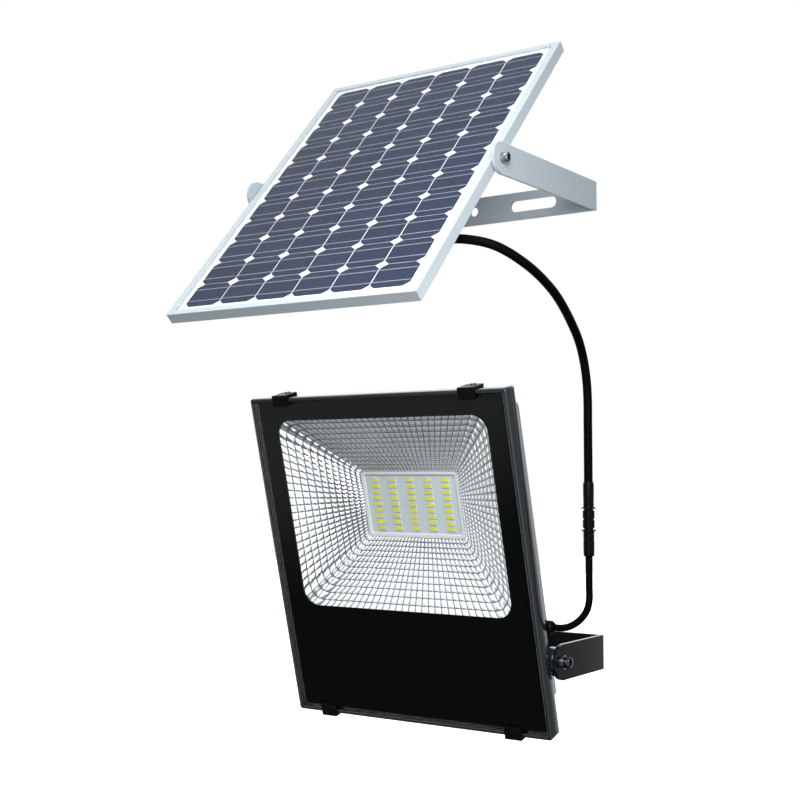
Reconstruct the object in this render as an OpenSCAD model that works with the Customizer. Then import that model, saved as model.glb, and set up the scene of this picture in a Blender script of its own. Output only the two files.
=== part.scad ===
// Solar flood light: a framed solar panel and an LED lamp, each tilting on its
// own U bracket, joined by a lead with a screwed in-line connector.
// X runs along the wall, +Y into the wall, +Z up. The origin is the middle of
// the lamp bracket's back face.

/* [Lamp] */
// Width of the lamp's front rim
lamp_w = 200; // [190:1:210]
// Height of the lamp's front rim
lamp_h = 223.5; // [215:0.5:235]
// Depth of the front rim
rim_d = 11; // [10:0.5:12]
// Depth of the lamp from the rim's front to the back of its box
lamp_d = 38; // [37.5:0.5:40]
// Lean of the lamp's face below the horizontal line of sight
lamp_lean = 14.6; // [0:0.1:20]
// Width of the clear window in the printed glass
window_w = 164; // [150:1:170]
// Height of the clear window
window_h = 130; // [120:1:135]
// Height of the window's middle above the middle of the face
window_z = 30.5; // [26:0.5:32]

/* [Light engine] */
// Columns of light emitting diodes
led_cols = 5; // [3:1:5]
// Rows of light emitting diodes
led_rows = 9; // [5:1:9]
// Spacing of the columns
led_step_x = 14; // [10:0.5:14]
// Spacing of the rows
led_step_z = 4.2; // [3.6:0.1:4.2]

/* [Panel] */
// Width of the panel's frame
panel_w = 186; // [180:1:200]
// Height of the panel's frame
panel_h = 251.5; // [240:0.5:252]
// Thickness of the panel's frame
panel_t = 7.2; // [7.2:0.1:9]
// Lean of the panel's face, measured from upright
panel_lean = 42.7; // [30:0.1:60]
// Distance of the panel's middle to the right of the lamp's middle
panel_x = 5; // [0:0.5:6]
// Columns of solar cells
cell_cols = 6; // [4:1:8]
// Rows of solar cells
cell_rows = 11; // [8:1:12]

/* [Brackets] */
// Distance from the wall to the lamp's pivot
lamp_reach = 58.4; // [57:0.1:62]
// Height of the lamp bracket's strap
lamp_strap_h = 22.5; // [20:0.5:24]
// Thickness of the lamp bracket's strap
lamp_strap_t = 2.5; // [2:0.1:3]
// Distance from the wall to the panel's pivot
panel_reach = 128.8; // [128.5:0.1:132]
// Height of the panel's pivot above the lamp's pivot
panel_rise = 306; // [306:1:330]
// Height of the panel bracket's strap
panel_strap_h = 19.5; // [18:0.5:22]
// Thickness of the panel bracket's strap
panel_strap_t = 2; // [1.5:0.1:2.5]

/* [Leads] */
// Diameter of the panel's lead
upper_d = 5.5; // [5:0.1:6]
// Diameter of the lamp's lead
lower_d = 4.4; // [4:0.1:5]

/* [Hidden] */
$fn = 48;
e = 0.01;

// Lamp, in its own frame: x across, y back from the rim's front, z up from its middle
screw_d = 4;
pivot_y = 21.4;
pivot_z = -68;
glass_w = lamp_w - 5.4;
glass_h = lamp_h - 5.4;
glass_y = 0.5;
glass_t = 4;
print_t = 0.3;
seat_y = 6;
box_w = 177;
box_h = 197;
box_r = 5;
box_wall = 2.6;
cavity_w = box_w - 2 * box_wall;
cavity_h = box_h - 2 * box_wall;
cavity_y = lamp_d - box_wall;
arm_gap = 1;
boss_r = 9;
boss_t = 6;
boss_in = 14;
neck_r = 4.2;
fin_d = 5.5;
fin_n = 15;
fin_step = 9;
clip_x = 73;
clip_w = 12;
clip_t = 1.8;
clip_screw_y = 8.5;
mouth_y = 5.4;
plate_y = 33;
plate_w = 94;
plate_h = 60;
plate_holes = [for (x = [-42.5, 42.5], z = [-26, 26]) [x, window_z + z]];
led_w = 5.7;
led_h = 3;
led_t = 0.9;
field_w = (led_cols - 1) * led_step_x + 15;
field_h = (led_rows - 1) * led_step_z + 5.8;
frame_w = field_w + 6;
frame_h = field_h + 6;
cell_r = 9.2;
cell_l = 65;
cell_z = [-53.5, -73];
cell_x = [-84, -17];
cell_y = 23;
gland_y = 24.8;
gland_z = -46.7;
board_x = 52;
board_z = -92;
board_w = 27;
board_h = 46;
board_y = 31.5;
board_holes = [for (x = [3, board_w - 3], z = [3, board_h - 3]) [board_x + x, board_z + z]];

// Panel, in its own frame: x across, y back from the frame's front, z up the slope
lip_side = 5.1;
lip_end = 4;
lip_t = 0.5;
rail_wall = 3.4;
cover_t = 0.9;
ribbon_t = 0.1;
wafer_t = 0.2;
sheet_t = 1.5;
wafer_y = lip_t + cover_t + ribbon_t;
sheet_y = wafer_y + wafer_t;
back_y = sheet_y + sheet_t;
field_x = 168.4;
field_z = 236.8;
cell_pitch_x = field_x / cell_cols;
cell_pitch_z = field_z / cell_rows;
cell_gap_x = 0.9;
cell_gap_z = 0.5;
cell_corner = [3.9, 3];
jbox_x = 25;
jbox_z = -62;
jbox_w = 54;
jbox_h = 40;
jbox_d = 16;
jbox_lid = 2;
jbox_posts = [for (x = [-1, 1], z = [-1, 1]) [x * (jbox_w / 2 - 4), z * (jbox_h / 2 - 4)]];
panel_gap = 1.2;

// Holes of the brackets
centre_hole_r = 3.25;
slot_r = 4;
slot_len = 36;
lamp_slot_x = 42;
panel_slot_x = 48;
hinge_play = 0.07;

// In-line connector, from its top to its foot
joint_x = 120;
joint_y = -55.5;
joint_top = 113;
joint_foot = 66.5;
nut_top = 95.3;
nut_foot = 83.9;
nut_r = 3.7;
flange_r = 4.6;
core_r = 2.9;

// Routes of the leads, from end to end
upper_route = [
    [64, -164, 254], [74, -164, 254], [85, -164, 253.5], [95, -163.5, 252.5],
    [105, -161, 250.5], [112, -156, 248], [117, -149, 244.5], [120.5, -140.5, 240.5],
    [123, -130.5, 236], [124, -119, 231], [124.5, -107, 225], [124, -95, 218],
    [123, -83, 210], [122, -71.5, 200.5], [120.5, -62, 189.5], [120, -57, 177],
    [120, -55.5, 164], [120, -55.5, 151], [120, -55.5, 138], [120, -55.5, 125],
    [120, -55.5, 113]
];
lower_route = [
    [120, -55.5, 66.5], [120, -55.5, 57], [120, -55.5, 47.5], [120, -55.5, 40],
    [118.5, -56, 33], [114.5, -57.5, 27], [109, -59.5, 23], [103.5, -60.5, 21.5], [98, -60.5, 21.5]
];
tube_sides = 10;

// Puts a child, drawn in the lamp's own frame, where the lamp is at rest
module on_lamp() {
    translate([0, -lamp_reach, 0]) rotate([lamp_lean, 0, 0])
        translate([0, -pivot_y, -pivot_z]) children();
}

// Puts a child, drawn in the panel's own frame, where the panel is at rest
module on_panel() {
    translate([panel_x, -panel_reach, panel_rise]) rotate([-panel_lean, 0, 0])
        translate([0, -panel_t / 2, 0]) children();
}

module round_rect(w, h, r) {
    square([w - 2 * r, h], center = true);
    square([w, h - 2 * r], center = true);
    for (x = [-1, 1], y = [-1, 1])
        translate([x * (w / 2 - r), y * (h / 2 - r)]) circle(r);
}

// A flat shape drawn in X and Z, from y0 back to y1
module slab(y0, y1) {
    translate([0, y1, 0]) rotate([90, 0, 0]) linear_extrude(y1 - y0) children();
}

module box_at(low, high) {
    translate(low) cube(high - low);
}

// A round bar along X, from x0 to x1
module bar_x(x0, x1, r) {
    translate([x0, 0, 0]) rotate([0, 90, 0]) cylinder(r = r, h = x1 - x0);
}

// A round bar along Y, from y0 to y1
module bar_y(y0, y1, r) {
    translate([0, y1, 0]) rotate([90, 0, 0]) cylinder(r = r, h = y1 - y0);
}

module both_sides() {
    children();
    mirror([1, 0, 0]) children();
}

// A socket head screw along X whose head starts at x0 and points to +X
module socket_screw(x0, shank, head_r, head_h) {
    difference() {
        bar_x(x0, x0 + head_h, head_r);
        bar_x(x0 + head_h - 2.5, x0 + head_h + 1, head_r * 0.52, $fn = 6);
    }
    bar_x(x0 - shank, x0 + e, screw_d / 2);
}

// A small screw along Y with its head at y0 and its tip further back
module small_screw(y0, shank, r, head_r, head_h) {
    bar_y(y0, y0 + head_h, head_r);
    bar_y(y0 + head_h - e, y0 + head_h + shank, r);
}

// A flat strap bent to a U, open to the front, with a round end to each arm
module u_bracket(out_w, reach, h, t, hole_r, slot_x) {
    bend_r = 1.2;
    difference() {
        union() {
            translate([0, 0, -h / 2]) linear_extrude(h) difference() {
                translate([0, -reach / 2]) union() {
                    square([out_w, reach - 2 * bend_r], center = true);
                    translate([0, reach / 2 - bend_r])
                        square([out_w - 2 * bend_r, 2 * bend_r], center = true);
                    for (x = [-1, 1])
                        translate([x * (out_w / 2 - bend_r), reach / 2 - bend_r]) circle(bend_r);
                    translate([0, -reach / 2 + bend_r])
                        square([out_w, 2 * bend_r], center = true);
                }
                translate([-out_w / 2 + t, -reach - 1]) square([out_w - 2 * t, reach + 1 - t]);
            }
            both_sides() translate([0, -reach, 0]) bar_x(out_w / 2 - t, out_w / 2, h / 2);
        }
        translate([0, -reach, 0]) bar_x(-out_w, out_w, hole_r);
        bar_y(-t - 1, 1, centre_hole_r);
        for (x = [-slot_x, slot_x]) translate([x, 0, 0]) {
            for (s = [-1, 1]) translate([s * (slot_len / 2 - slot_r), 0, 0])
                bar_y(-t - 1, 1, slot_r);
            box_at([-slot_len / 2 + slot_r, -t - 1, -slot_r], [slot_len / 2 - slot_r, 1, slot_r]);
        }
    }
}

module lamp_bracket() {
    color("#3a4146")
        u_bracket(lamp_w + 2 * (arm_gap + lamp_strap_t), lamp_reach, lamp_strap_h,
            lamp_strap_t, screw_d / 2 + hinge_play, lamp_slot_x);
}

module panel_bracket() {
    color("#bccad2") translate([panel_x, 0, panel_rise])
        u_bracket(panel_w + 2 * (panel_gap + panel_strap_t), panel_reach, panel_strap_h,
            panel_strap_t, screw_d / 2 + hinge_play, panel_slot_x);
}

module lamp_housing() {
    color("#3c4348") on_lamp() difference() {
        union() {
            slab(0, rim_d) round_rect(lamp_w, lamp_h, 1.5);
            slab(rim_d - 1, lamp_d - 4) round_rect(box_w, box_h, box_r);
            hull() {
                slab(lamp_d - 4.2, lamp_d - 4) round_rect(box_w, box_h, box_r);
                slab(lamp_d - 0.2, lamp_d) round_rect(box_w - 7, box_h - 7, box_r - 3);
            }
            translate([0, pivot_y, pivot_z]) both_sides() {
                bar_x(lamp_w / 2 - boss_in, lamp_w / 2 - boss_t + e, neck_r);
                bar_x(lamp_w / 2 - boss_t, lamp_w / 2, boss_r);
            }
            for (i = [0 : fin_n - 1])
                translate([(i - (fin_n - 1) / 2) * fin_step, lamp_d - e, 6])
                    box_at([-0.9, 0, -76], [0.9, fin_d, 76]);
        }
        slab(-1, seat_y) round_rect(glass_w + 0.4, glass_h + 0.4, 1);
        slab(-1, cavity_y) round_rect(cavity_w, cavity_h, box_r - box_wall);
        slab(-1, rim_d - 2.5) round_rect(cavity_w, cavity_h + 5, box_r - box_wall);
        translate([0, pivot_y, pivot_z]) both_sides()
            bar_x(lamp_w / 2 - 9.5, lamp_w / 2 + 1, screw_d / 2 + 0.02);
        translate([0, clip_screw_y, 0]) for (x = [-clip_x, clip_x])
            translate([x, 0, 0]) cylinder(r = 0.85, h = lamp_h + 2, center = true);
        on_lamp_gland() bar_x(-10, 10, 3.5);
        for (p = plate_holes) translate([p[0], 0, p[1]]) bar_y(cavity_y - 1, cavity_y + 1.2, 1.25);
        for (p = board_holes) translate([p[0], 0, p[1]]) bar_y(cavity_y - 1, cavity_y + 1.2, 1);
    }
}

// Puts a child where the lead enters the lamp's right side, with X out of the wall
module on_lamp_gland() {
    translate([box_w / 2, gland_y, gland_z]) children();
}

module glass_gasket() {
    color("#202224") on_lamp() slab(glass_y + glass_t + print_t, seat_y) difference() {
        round_rect(glass_w - 1, glass_h - 1, 1);
        round_rect(cavity_w + 4, cavity_h + 5, 4);
    }
}

module front_glass() {
    color("#d9e4e8", 0.35) on_lamp()
        slab(glass_y, glass_y + glass_t) round_rect(glass_w, glass_h, 1);
}

module glass_print() {
    color("#141616") on_lamp() slab(glass_y + glass_t, glass_y + glass_t + print_t) difference() {
        round_rect(glass_w - 0.4, glass_h - 0.4, 1);
        translate([0, window_z]) round_rect(window_w, window_h, 11);
    }
}

// One layer of the funnel: share 0 at the mouth, 1 at the foot
module funnel_layer(y, share, grow) {
    w = window_w + 3 + share * (frame_w - window_w - 3) + 2 * grow;
    h = window_h + 3 + share * (frame_h - window_h - 3) + 2 * grow;
    translate([0, 0, window_z]) slab(y, y + 0.1)
        round_rect(w, h, 12 - 9.5 * share, $fn = 32);
}

module reflector() {
    wall = 0.9;
    foot_y = plate_y - 1.6;
    color("#d8dde0") on_lamp() difference() {
        union() {
            slab(mouth_y, mouth_y + wall) translate([0, window_z])
                round_rect(window_w + 4.5, window_h + 1.5, 12);
            hull() {
                funnel_layer(mouth_y, 0, wall);
                funnel_layer(foot_y - 0.1, 1, wall);
            }
        }
        hull() {
            funnel_layer(mouth_y - 0.2, 0, 0);
            funnel_layer(foot_y + 0.05, 1, 0);
        }
    }
}

module led_frame() {
    color("#f2f4f4") on_lamp() translate([0, 0, window_z]) slab(plate_y - 1.5, plate_y) difference() {
        round_rect(frame_w + 1, frame_h + 1, 3.5);
        round_rect(field_w + 1.4, field_h + 1.4, 1.5);
    }
}

module led_board() {
    color("#c4cccc") on_lamp() difference() {
        translate([0, 0, window_z]) slab(plate_y, cavity_y) round_rect(plate_w, plate_h, 2);
        for (p = plate_holes) translate([p[0], 0, p[1]]) bar_y(plate_y - 1, cavity_y + 1, 1.3);
    }
}

module led_chips() {
    color("#dde060") on_lamp() translate([0, plate_y - led_t, window_z])
        for (i = [0 : led_cols - 1], j = [0 : led_rows - 1])
            translate([(i - (led_cols - 1) / 2) * led_step_x, 0, (j - (led_rows - 1) / 2) * led_step_z])
                box_at([-led_w / 2, 0, -led_h / 2], [led_w / 2, led_t, led_h / 2]);
}

module led_board_screws() {
    color("silver") on_lamp() for (p = plate_holes)
        translate([p[0], 0, p[1]]) small_screw(plate_y - 1.2, 2.6, 1.2, 2.2, 1.2);
}

// A glass clip: a plate over the rim's edge and a tab down over the glass
module glass_clip() {
    top = lamp_h / 2;
    difference() {
        union() {
            box_at([-clip_w / 2, -1.5, top], [clip_w / 2, rim_d, top + clip_t]);
            box_at([-clip_w / 2, -1.5, top - 5.7], [clip_w / 2, 0, top + e]);
            box_at([-clip_w / 2 + 1, -e, top - 5.7], [clip_w / 2 - 1, glass_y, top - 3]);
        }
        translate([0, clip_screw_y, top - 1]) cylinder(r = 1.05, h = clip_t + 2);
    }
}

module clip_at(sx, sz) {
    color("#17191a") on_lamp() translate([sx * clip_x, 0, 0])
        mirror([0, 0, sz < 0 ? 1 : 0]) glass_clip();
}

module clip_top_left() { clip_at(-1, 1); }
module clip_top_right() { clip_at(1, 1); }
module clip_bottom_left() { clip_at(-1, -1); }
module clip_bottom_right() { clip_at(1, -1); }

module clip_screws() {
    color("#9aa0a3") on_lamp() for (x = [-clip_x, clip_x], s = [0, 1])
        mirror([0, 0, s]) translate([x, clip_screw_y, lamp_h / 2 + clip_t]) {
            cylinder(r = 1.9, h = 1);
            translate([0, 0, -6]) cylinder(r = 0.8, h = 6 + e);
        }
}

module battery_tray() {
    base_y = cell_y + cell_r + 0.1;
    x0 = cell_x[0] - 1.2;
    x1 = cell_x[1] + cell_l + 1.2;
    z0 = cell_z[1] - 10.5;
    z1 = cell_z[0] + 10.5;
    color("#2b2f31") on_lamp() union() {
        box_at([x0, base_y, z0], [x1, cavity_y, z1]);
        box_at([x0, cell_y, z0], [x1, base_y + e, z0 + 1]);
        box_at([x0, cell_y, z1 - 1], [x1, base_y + e, z1]);
    }
}

module battery_cells() {
    color("#2f7fb5") on_lamp() for (x = cell_x, z = cell_z)
        translate([0, cell_y, z]) {
            bar_x(x, x + cell_l, cell_r);
            bar_x(x + cell_l - e, x + cell_l + 0.6, 3);
        }
}

module battery_strips() {
    color("#b9bcbd") on_lamp() {
        for (x = [cell_x[0] - 0.2, cell_x[1] + cell_l + 0.6])
            box_at([x, cell_y - 3, cell_z[1] - 5], [x + 0.2, cell_y + 3, cell_z[0] + 5]);
        box_at([cell_x[0] + cell_l + 0.6, cell_y - 3, cell_z[1] - 5],
            [cell_x[1], cell_y + 3, cell_z[0] + 5]);
    }
}

module controller_board() {
    color("#1f6b3a") on_lamp() difference() {
        box_at([board_x, board_y, board_z], [board_x + board_w, board_y + 1.6, board_z + board_h]);
        for (p = board_holes) translate([p[0], 0, p[1]]) bar_y(board_y - 1, board_y + 3, 1.15);
    }
}

// Inductor, smoothing capacitor, switching transistors, chip and plug block
module controller_parts() {
    color("#26292b") on_lamp() translate([board_x, board_y, board_z]) {
        translate([8, 0, 13]) difference() {
            bar_y(-6, 0, 4.5);
            bar_y(-7, -2, 1.8);
        }
        translate([19.5, 0, 12]) bar_y(-10, 0, 4);
        for (z = [21, 28]) box_at([3, -2.3, z], [9.5, 0, z + 5]);
        box_at([13, -1.6, 22], [18, 0, 30]);
        box_at([7, -7, 36.5], [20, 0, 43]);
    }
}

module controller_screws() {
    color("silver") on_lamp() {
        for (p = board_holes) translate([p[0], 0, p[1]]) {
            small_screw(board_y - 1, 4.9, 0.95, 1.8, 1);
            difference() {
                bar_y(board_y + 1.6, cavity_y, 2.3);
                bar_y(board_y, cavity_y + 1, 1);
            }
        }
    }
}

// Insulated wires: battery to controller, light engine to controller, inlet to controller
module lamp_wires() {
    plug_y = board_y - 7.9;
    plug_z = board_z + 40;
    color("#b5302a") on_lamp() {
        wire([[50, cell_y, -66], [52, cell_y - 1, -63], [55, plug_y - 1.5, -56.5],
            [60, plug_y, plug_z]]);
        wire([[20, plate_y - 0.8, 3], [24, 30, 0], [30, 29, -20], [42, 28, -36], [54, 25.5, -39],
            [62, 22.5, -43], [64.5, plug_y - 0.3, -48], [65, plug_y, plug_z]]);
        wire([[80.4, gland_y, gland_z], [78, gland_y - 0.3, gland_z], [74, 22, -47], [70, 22, -49],
            [69, plug_y, plug_z]]);
    }
}

// The lamp's lead inside its gland
module gland_lead() {
    color("#151718") on_lamp() on_lamp_gland()
        bar_x(-8, lower_route[len(lower_route) - 1][0] - box_w / 2, lower_d / 2);
}

module wire(p) {
    tube(p, 1.5, 8, [0, 1, 0.2]);
}

module gland_body() {
    color("#1b1d1e") on_lamp() on_lamp_gland() difference() {
        union() {
            bar_x(-5.5, 1, 3.45);
            bar_x(0.1, 3, 4.6, $fn = 6);
            bar_x(3 - e, 7, 3.3);
            bar_x(-5.2, -box_wall - 0.1, 4.4);
        }
        bar_x(-6, 8, lower_d / 2 + 0.1);
    }
}

module gland_nut() {
    color("#1b1d1e") on_lamp() on_lamp_gland() difference() {
        union() {
            bar_x(3.2, 7.5, 4.25);
            translate([7.5 - e, 0, 0]) rotate([0, 90, 0]) cylinder(r1 = 4.25, r2 = 3.2, h = 1.8);
        }
        bar_x(3, 7.2, 3.35);
        bar_x(3, 12, lower_d / 2 + 0.1);
    }
}

module lamp_pivot_screws() {
    color("silver") on_lamp() translate([0, pivot_y, pivot_z]) both_sides()
        socket_screw(lamp_w / 2 + arm_gap + lamp_strap_t + 0.85, 13.3, 3.5, 4);
}

module lamp_outer_washers() {
    color("silver") on_lamp() translate([0, pivot_y, pivot_z]) both_sides()
        translate([lamp_w / 2 + arm_gap + lamp_strap_t + 0.05, 0, 0]) difference() {
            bar_x(0, 0.8, 4.5);
            bar_x(-1, 2, screw_d / 2 + 0.15);
        }
}

module lamp_inner_washers() {
    color("#1b1d1e") on_lamp() translate([0, pivot_y, pivot_z]) both_sides()
        translate([lamp_w / 2, 0, 0]) difference() {
            bar_x(0, arm_gap - 0.05, 6);
            bar_x(-1, 2, screw_d / 2 + 0.15);
        }
}

// A mitred rail lying along X with its outer side at z = 0 and its inner side above
module rail(len, lip) {
    intersection() {
        union() {
            box_at([-len / 2, 0, 0], [len / 2, panel_t, rail_wall - 1]);
            box_at([-len / 2, 0, 0], [len / 2, lip_t, lip]);
            box_at([-len / 2, back_y, 0], [len / 2, back_y + 1, lip + 2]);
            box_at([-len / 2, panel_t - 0.8, 0], [len / 2, panel_t, lip + 4]);
        }
        slab(-1, panel_t + 1)
            polygon([[-len / 2, 0], [len / 2, 0], [len / 2 - 20, 20], [20 - len / 2, 20]]);
    }
}

// The right side's rail, thickened round its pivot hole
module side_rail() {
    difference() {
        union() {
            translate([panel_w / 2, 0, 0]) rotate([0, -90, 0]) rail(panel_h, lip_side);
            box_at([panel_w / 2 - rail_wall, 0.1, -12], [panel_w / 2 - 0.1, panel_t - 0.1, 12]);
        }
        translate([0, panel_t / 2, 0]) bar_x(panel_w / 2 - 5, panel_w / 2 + 1, screw_d / 2 + 0.02);
    }
}

module end_rail(s) {
    color("#d4e2ea") on_panel() translate([0, 0, s * panel_h / 2])
        mirror([0, 0, s > 0 ? 1 : 0]) rail(panel_w, lip_end);
}

module rail_left() { color("#c3d0d8") on_panel() mirror([1, 0, 0]) side_rail(); }
module rail_right() { color("#c3d0d8") on_panel() side_rail(); }
module rail_top() { end_rail(1); }
module rail_bottom() { end_rail(-1); }

module laminate(y0, y1) {
    slab(y0, y1) square([panel_w - 2 * rail_wall - 0.4, panel_h - 2 * rail_wall + 1.6], center = true);
}

module panel_cover() {
    color("#dfe9ee", 0.3) on_panel() laminate(lip_t, lip_t + cover_t);
}

module solar_cells() {
    w = (cell_pitch_x - cell_gap_x) / 2;
    h = (cell_pitch_z - cell_gap_z) / 2;
    cut = [w - cell_corner[0], h - cell_corner[1]];
    color("#35406b") on_panel() slab(wafer_y, wafer_y + wafer_t)
        for (i = [0 : cell_cols - 1], j = [0 : cell_rows - 1])
            translate([(i - (cell_cols - 1) / 2) * cell_pitch_x, (j - (cell_rows - 1) / 2) * cell_pitch_z])
                polygon([[-cut[0], -h], [cut[0], -h], [w, -cut[1]], [w, cut[1]],
                    [cut[0], h], [-cut[0], h], [-w, cut[1]], [-w, -cut[1]]]);
}

module cell_ribbons() {
    color("#c9cdd2") on_panel() for (j = [0 : cell_rows - 1], s = [-1, 1])
        translate([0, wafer_y - ribbon_t, (j - (cell_rows - 1) / 2) * cell_pitch_z + s * cell_pitch_z / 4])
            box_at([-field_x / 2 + 0.5, 0, -0.35], [field_x / 2 - 0.5, ribbon_t, 0.35]);
}

module back_sheet() {
    color("#f4f6f7") on_panel() laminate(sheet_y, back_y);
}

// Puts a child at each corner post of the junction box
module on_posts() {
    on_panel() for (p = jbox_posts) translate([jbox_x + p[0], 0, jbox_z + p[1]]) children();
}

// A hollow box on the back of the panel, open to the back
module junction_box() {
    color("#1e2021") difference() {
        union() {
            on_panel() translate([jbox_x, 0, jbox_z]) difference() {
                slab(back_y, back_y + jbox_d) round_rect(jbox_w, jbox_h, 4);
                slab(back_y + 2, back_y + jbox_d + 1) round_rect(jbox_w - 4, jbox_h - 4, 2.5);
            }
            on_posts() bar_y(back_y + 1, back_y + jbox_d, 2.6);
        }
        on_posts() bar_y(back_y + 6, back_y + jbox_d + 1, 1.05);
        translate(upper_route[0]) bar_x(-18, 2, 4);
    }
}

module junction_lid() {
    color("#232526") difference() {
        on_panel() translate([jbox_x, 0, jbox_z]) union() {
            slab(back_y + jbox_d, back_y + jbox_d + jbox_lid) round_rect(jbox_w, jbox_h, 4);
            slab(back_y + jbox_d - 1.2, back_y + jbox_d + e) difference() {
                round_rect(jbox_w - 4.6, jbox_h - 4.6, 2);
                round_rect(jbox_w - 7, jbox_h - 7, 1.5);
                for (p = jbox_posts) translate(p) circle(3);
            }
        }
        on_posts() bar_y(back_y, back_y + 30, 1.3);
    }
}

module junction_lid_screws() {
    color("silver") on_posts() {
        bar_y(back_y + jbox_d + jbox_lid, back_y + jbox_d + jbox_lid + 1.2, 2.2);
        bar_y(back_y + jbox_d - 6, back_y + jbox_d + jbox_lid + e, 1);
    }
}

module junction_gland() {
    wall_x = panel_x + jbox_x + jbox_w / 2 - upper_route[0][0];
    color("#1b1d1e") translate(upper_route[0]) difference() {
        union() {
            bar_x(wall_x - 5, 0, 3.95);
            bar_x(wall_x + 0.1, wall_x + 3, 5.4, $fn = 6);
            bar_x(wall_x + 3 - e, -1.5, 4.9);
            bar_x(wall_x - 4.5, wall_x - 2.1, 4.9);
        }
        bar_x(wall_x - 6, -2, 2);
    }
}

// Two way screw terminal with its two screws as solids of their own
module terminal_block() {
    color("#5b9a63") on_panel() translate([jbox_x - 4, back_y + 2, jbox_z]) {
        difference() {
            box_at([-6, 0, -9], [6, 8, 9]);
            for (z = [-4.5, 4.5]) translate([0, 0, z]) bar_y(4, 9, 2.1);
        }
        for (z = [-4.5, 4.5]) translate([0, 0, z]) bar_y(4.1, 7.4, 2);
    }
}

module panel_pivot_screws() {
    color("silver") on_panel() translate([0, panel_t / 2, 0]) both_sides()
        socket_screw(panel_w / 2 + panel_gap + panel_strap_t + 0.05, 6.2, 3.1, 4.6);
}

module panel_inner_washers() {
    color("silver") on_panel() translate([0, panel_t / 2, 0]) both_sides()
        translate([panel_w / 2, 0, 0]) difference() {
            bar_x(0, panel_gap - 0.05, 3.5);
            bar_x(-1, 3, screw_d / 2 + 0.15);
        }
}

module on_connector() {
    translate([joint_x, joint_y, 0]) children();
}

module drum(z0, z1, r) {
    translate([0, 0, z0]) cylinder(r = r, h = z1 - z0);
}

module connector_plug() {
    color("#1a1c1d") on_connector() {
        translate([0, 0, joint_top - 1]) cylinder(r1 = 3.4, r2 = 3, h = 1);
        drum(nut_top + 1.6, joint_top - 1 + e, 3.4);
        drum(nut_top + 0.8, nut_top + 1.6 + e, flange_r);
        drum((nut_top + nut_foot) / 2, nut_top + 0.8 + e, core_r);
    }
}

module connector_socket() {
    color("#1a1c1d") on_connector() {
        translate([0, 0, joint_foot]) cylinder(r1 = 2.9, r2 = 3.4, h = 1);
        translate([0, 0, joint_foot + 1 - e])
            cylinder(r1 = 3.4, r2 = 3.6, h = nut_foot - joint_foot - 2.6 + 2 * e);
        drum(nut_foot - 1.6, nut_foot - 0.8, flange_r);
        drum(nut_foot - 0.8 - e, (nut_top + nut_foot) / 2, core_r);
    }
}

module connector_nut() {
    mid = (nut_top + nut_foot) / 2;
    color("#1a1c1d") on_connector() difference() {
        drum(nut_foot, nut_top, nut_r);
        drum(nut_foot - 1, nut_top + 1, core_r + 0.08);
        difference() {
            drum(mid - 0.3, mid + 0.3, nut_r + 1);
            drum(mid - 1, mid + 1, nut_r - 0.35);
        }
        for (a = [0 : 30 : 330]) rotate([0, 0, a]) translate([nut_r + 0.3, 0, nut_foot - 1])
            cylinder(r = 0.6, h = nut_top - nut_foot + 2, $fn = 16);
    }
}

function unit(v) = v / norm(v);

// Direction of a route at its point i
function heading(p, i) =
    unit(p[min(i + 1, len(p) - 1)] - p[max(i - 1, 0)]);

// One ring of points around point i; side is any direction that the route never takes
function ring(p, i, r, sides, side) =
    let (t = heading(p, i), a = unit(cross(side, t)), b = cross(t, a))
    [for (k = [0 : sides - 1]) p[i] + r * (cos(360 * k / sides) * a + sin(360 * k / sides) * b)];

module tube(p, d, sides, side) {
    n = len(p);
    points = [for (i = [0 : n - 1]) each ring(p, i, d / 2, sides, side)];
    walls = [for (i = [0 : n - 2], k = [0 : sides - 1])
        let (k2 = (k + 1) % sides)
        [i * sides + k, (i + 1) * sides + k, (i + 1) * sides + k2, i * sides + k2]];
    start = [[for (k = [0 : sides - 1]) k]];
    finish = [[for (k = [sides - 1 : -1 : 0]) (n - 1) * sides + k]];
    polyhedron(points, concat(walls, start, finish), convexity = 6);
}

module upper_lead() {
    color("#151718") tube(upper_route, upper_d, tube_sides, [-1, 1, 1]);
}

module lower_lead() {
    color("#151718") tube(lower_route, lower_d, tube_sides, [0, 1, 0]);
}

lamp_bracket();
panel_bracket();
lamp_housing();
glass_gasket();
front_glass();
glass_print();
reflector();
led_frame();
led_board();
led_chips();
led_board_screws();
clip_top_left();
clip_top_right();
clip_bottom_left();
clip_bottom_right();
clip_screws();
battery_tray();
battery_cells();
battery_strips();
controller_board();
controller_parts();
controller_screws();
lamp_wires();
gland_lead();
gland_body();
gland_nut();
lamp_pivot_screws();
lamp_outer_washers();
lamp_inner_washers();
rail_left();
rail_right();
rail_top();
rail_bottom();
panel_cover();
cell_ribbons();
solar_cells();
back_sheet();
junction_box();
junction_lid();
junction_lid_screws();
junction_gland();
terminal_block();
panel_pivot_screws();
panel_inner_washers();
connector_plug();
connector_nut();
connector_socket();
upper_lead();
lower_lead();
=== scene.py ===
from math import cos, pi, radians, sin

import bmesh
import bpy
from mathutils import Matrix, Vector


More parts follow.
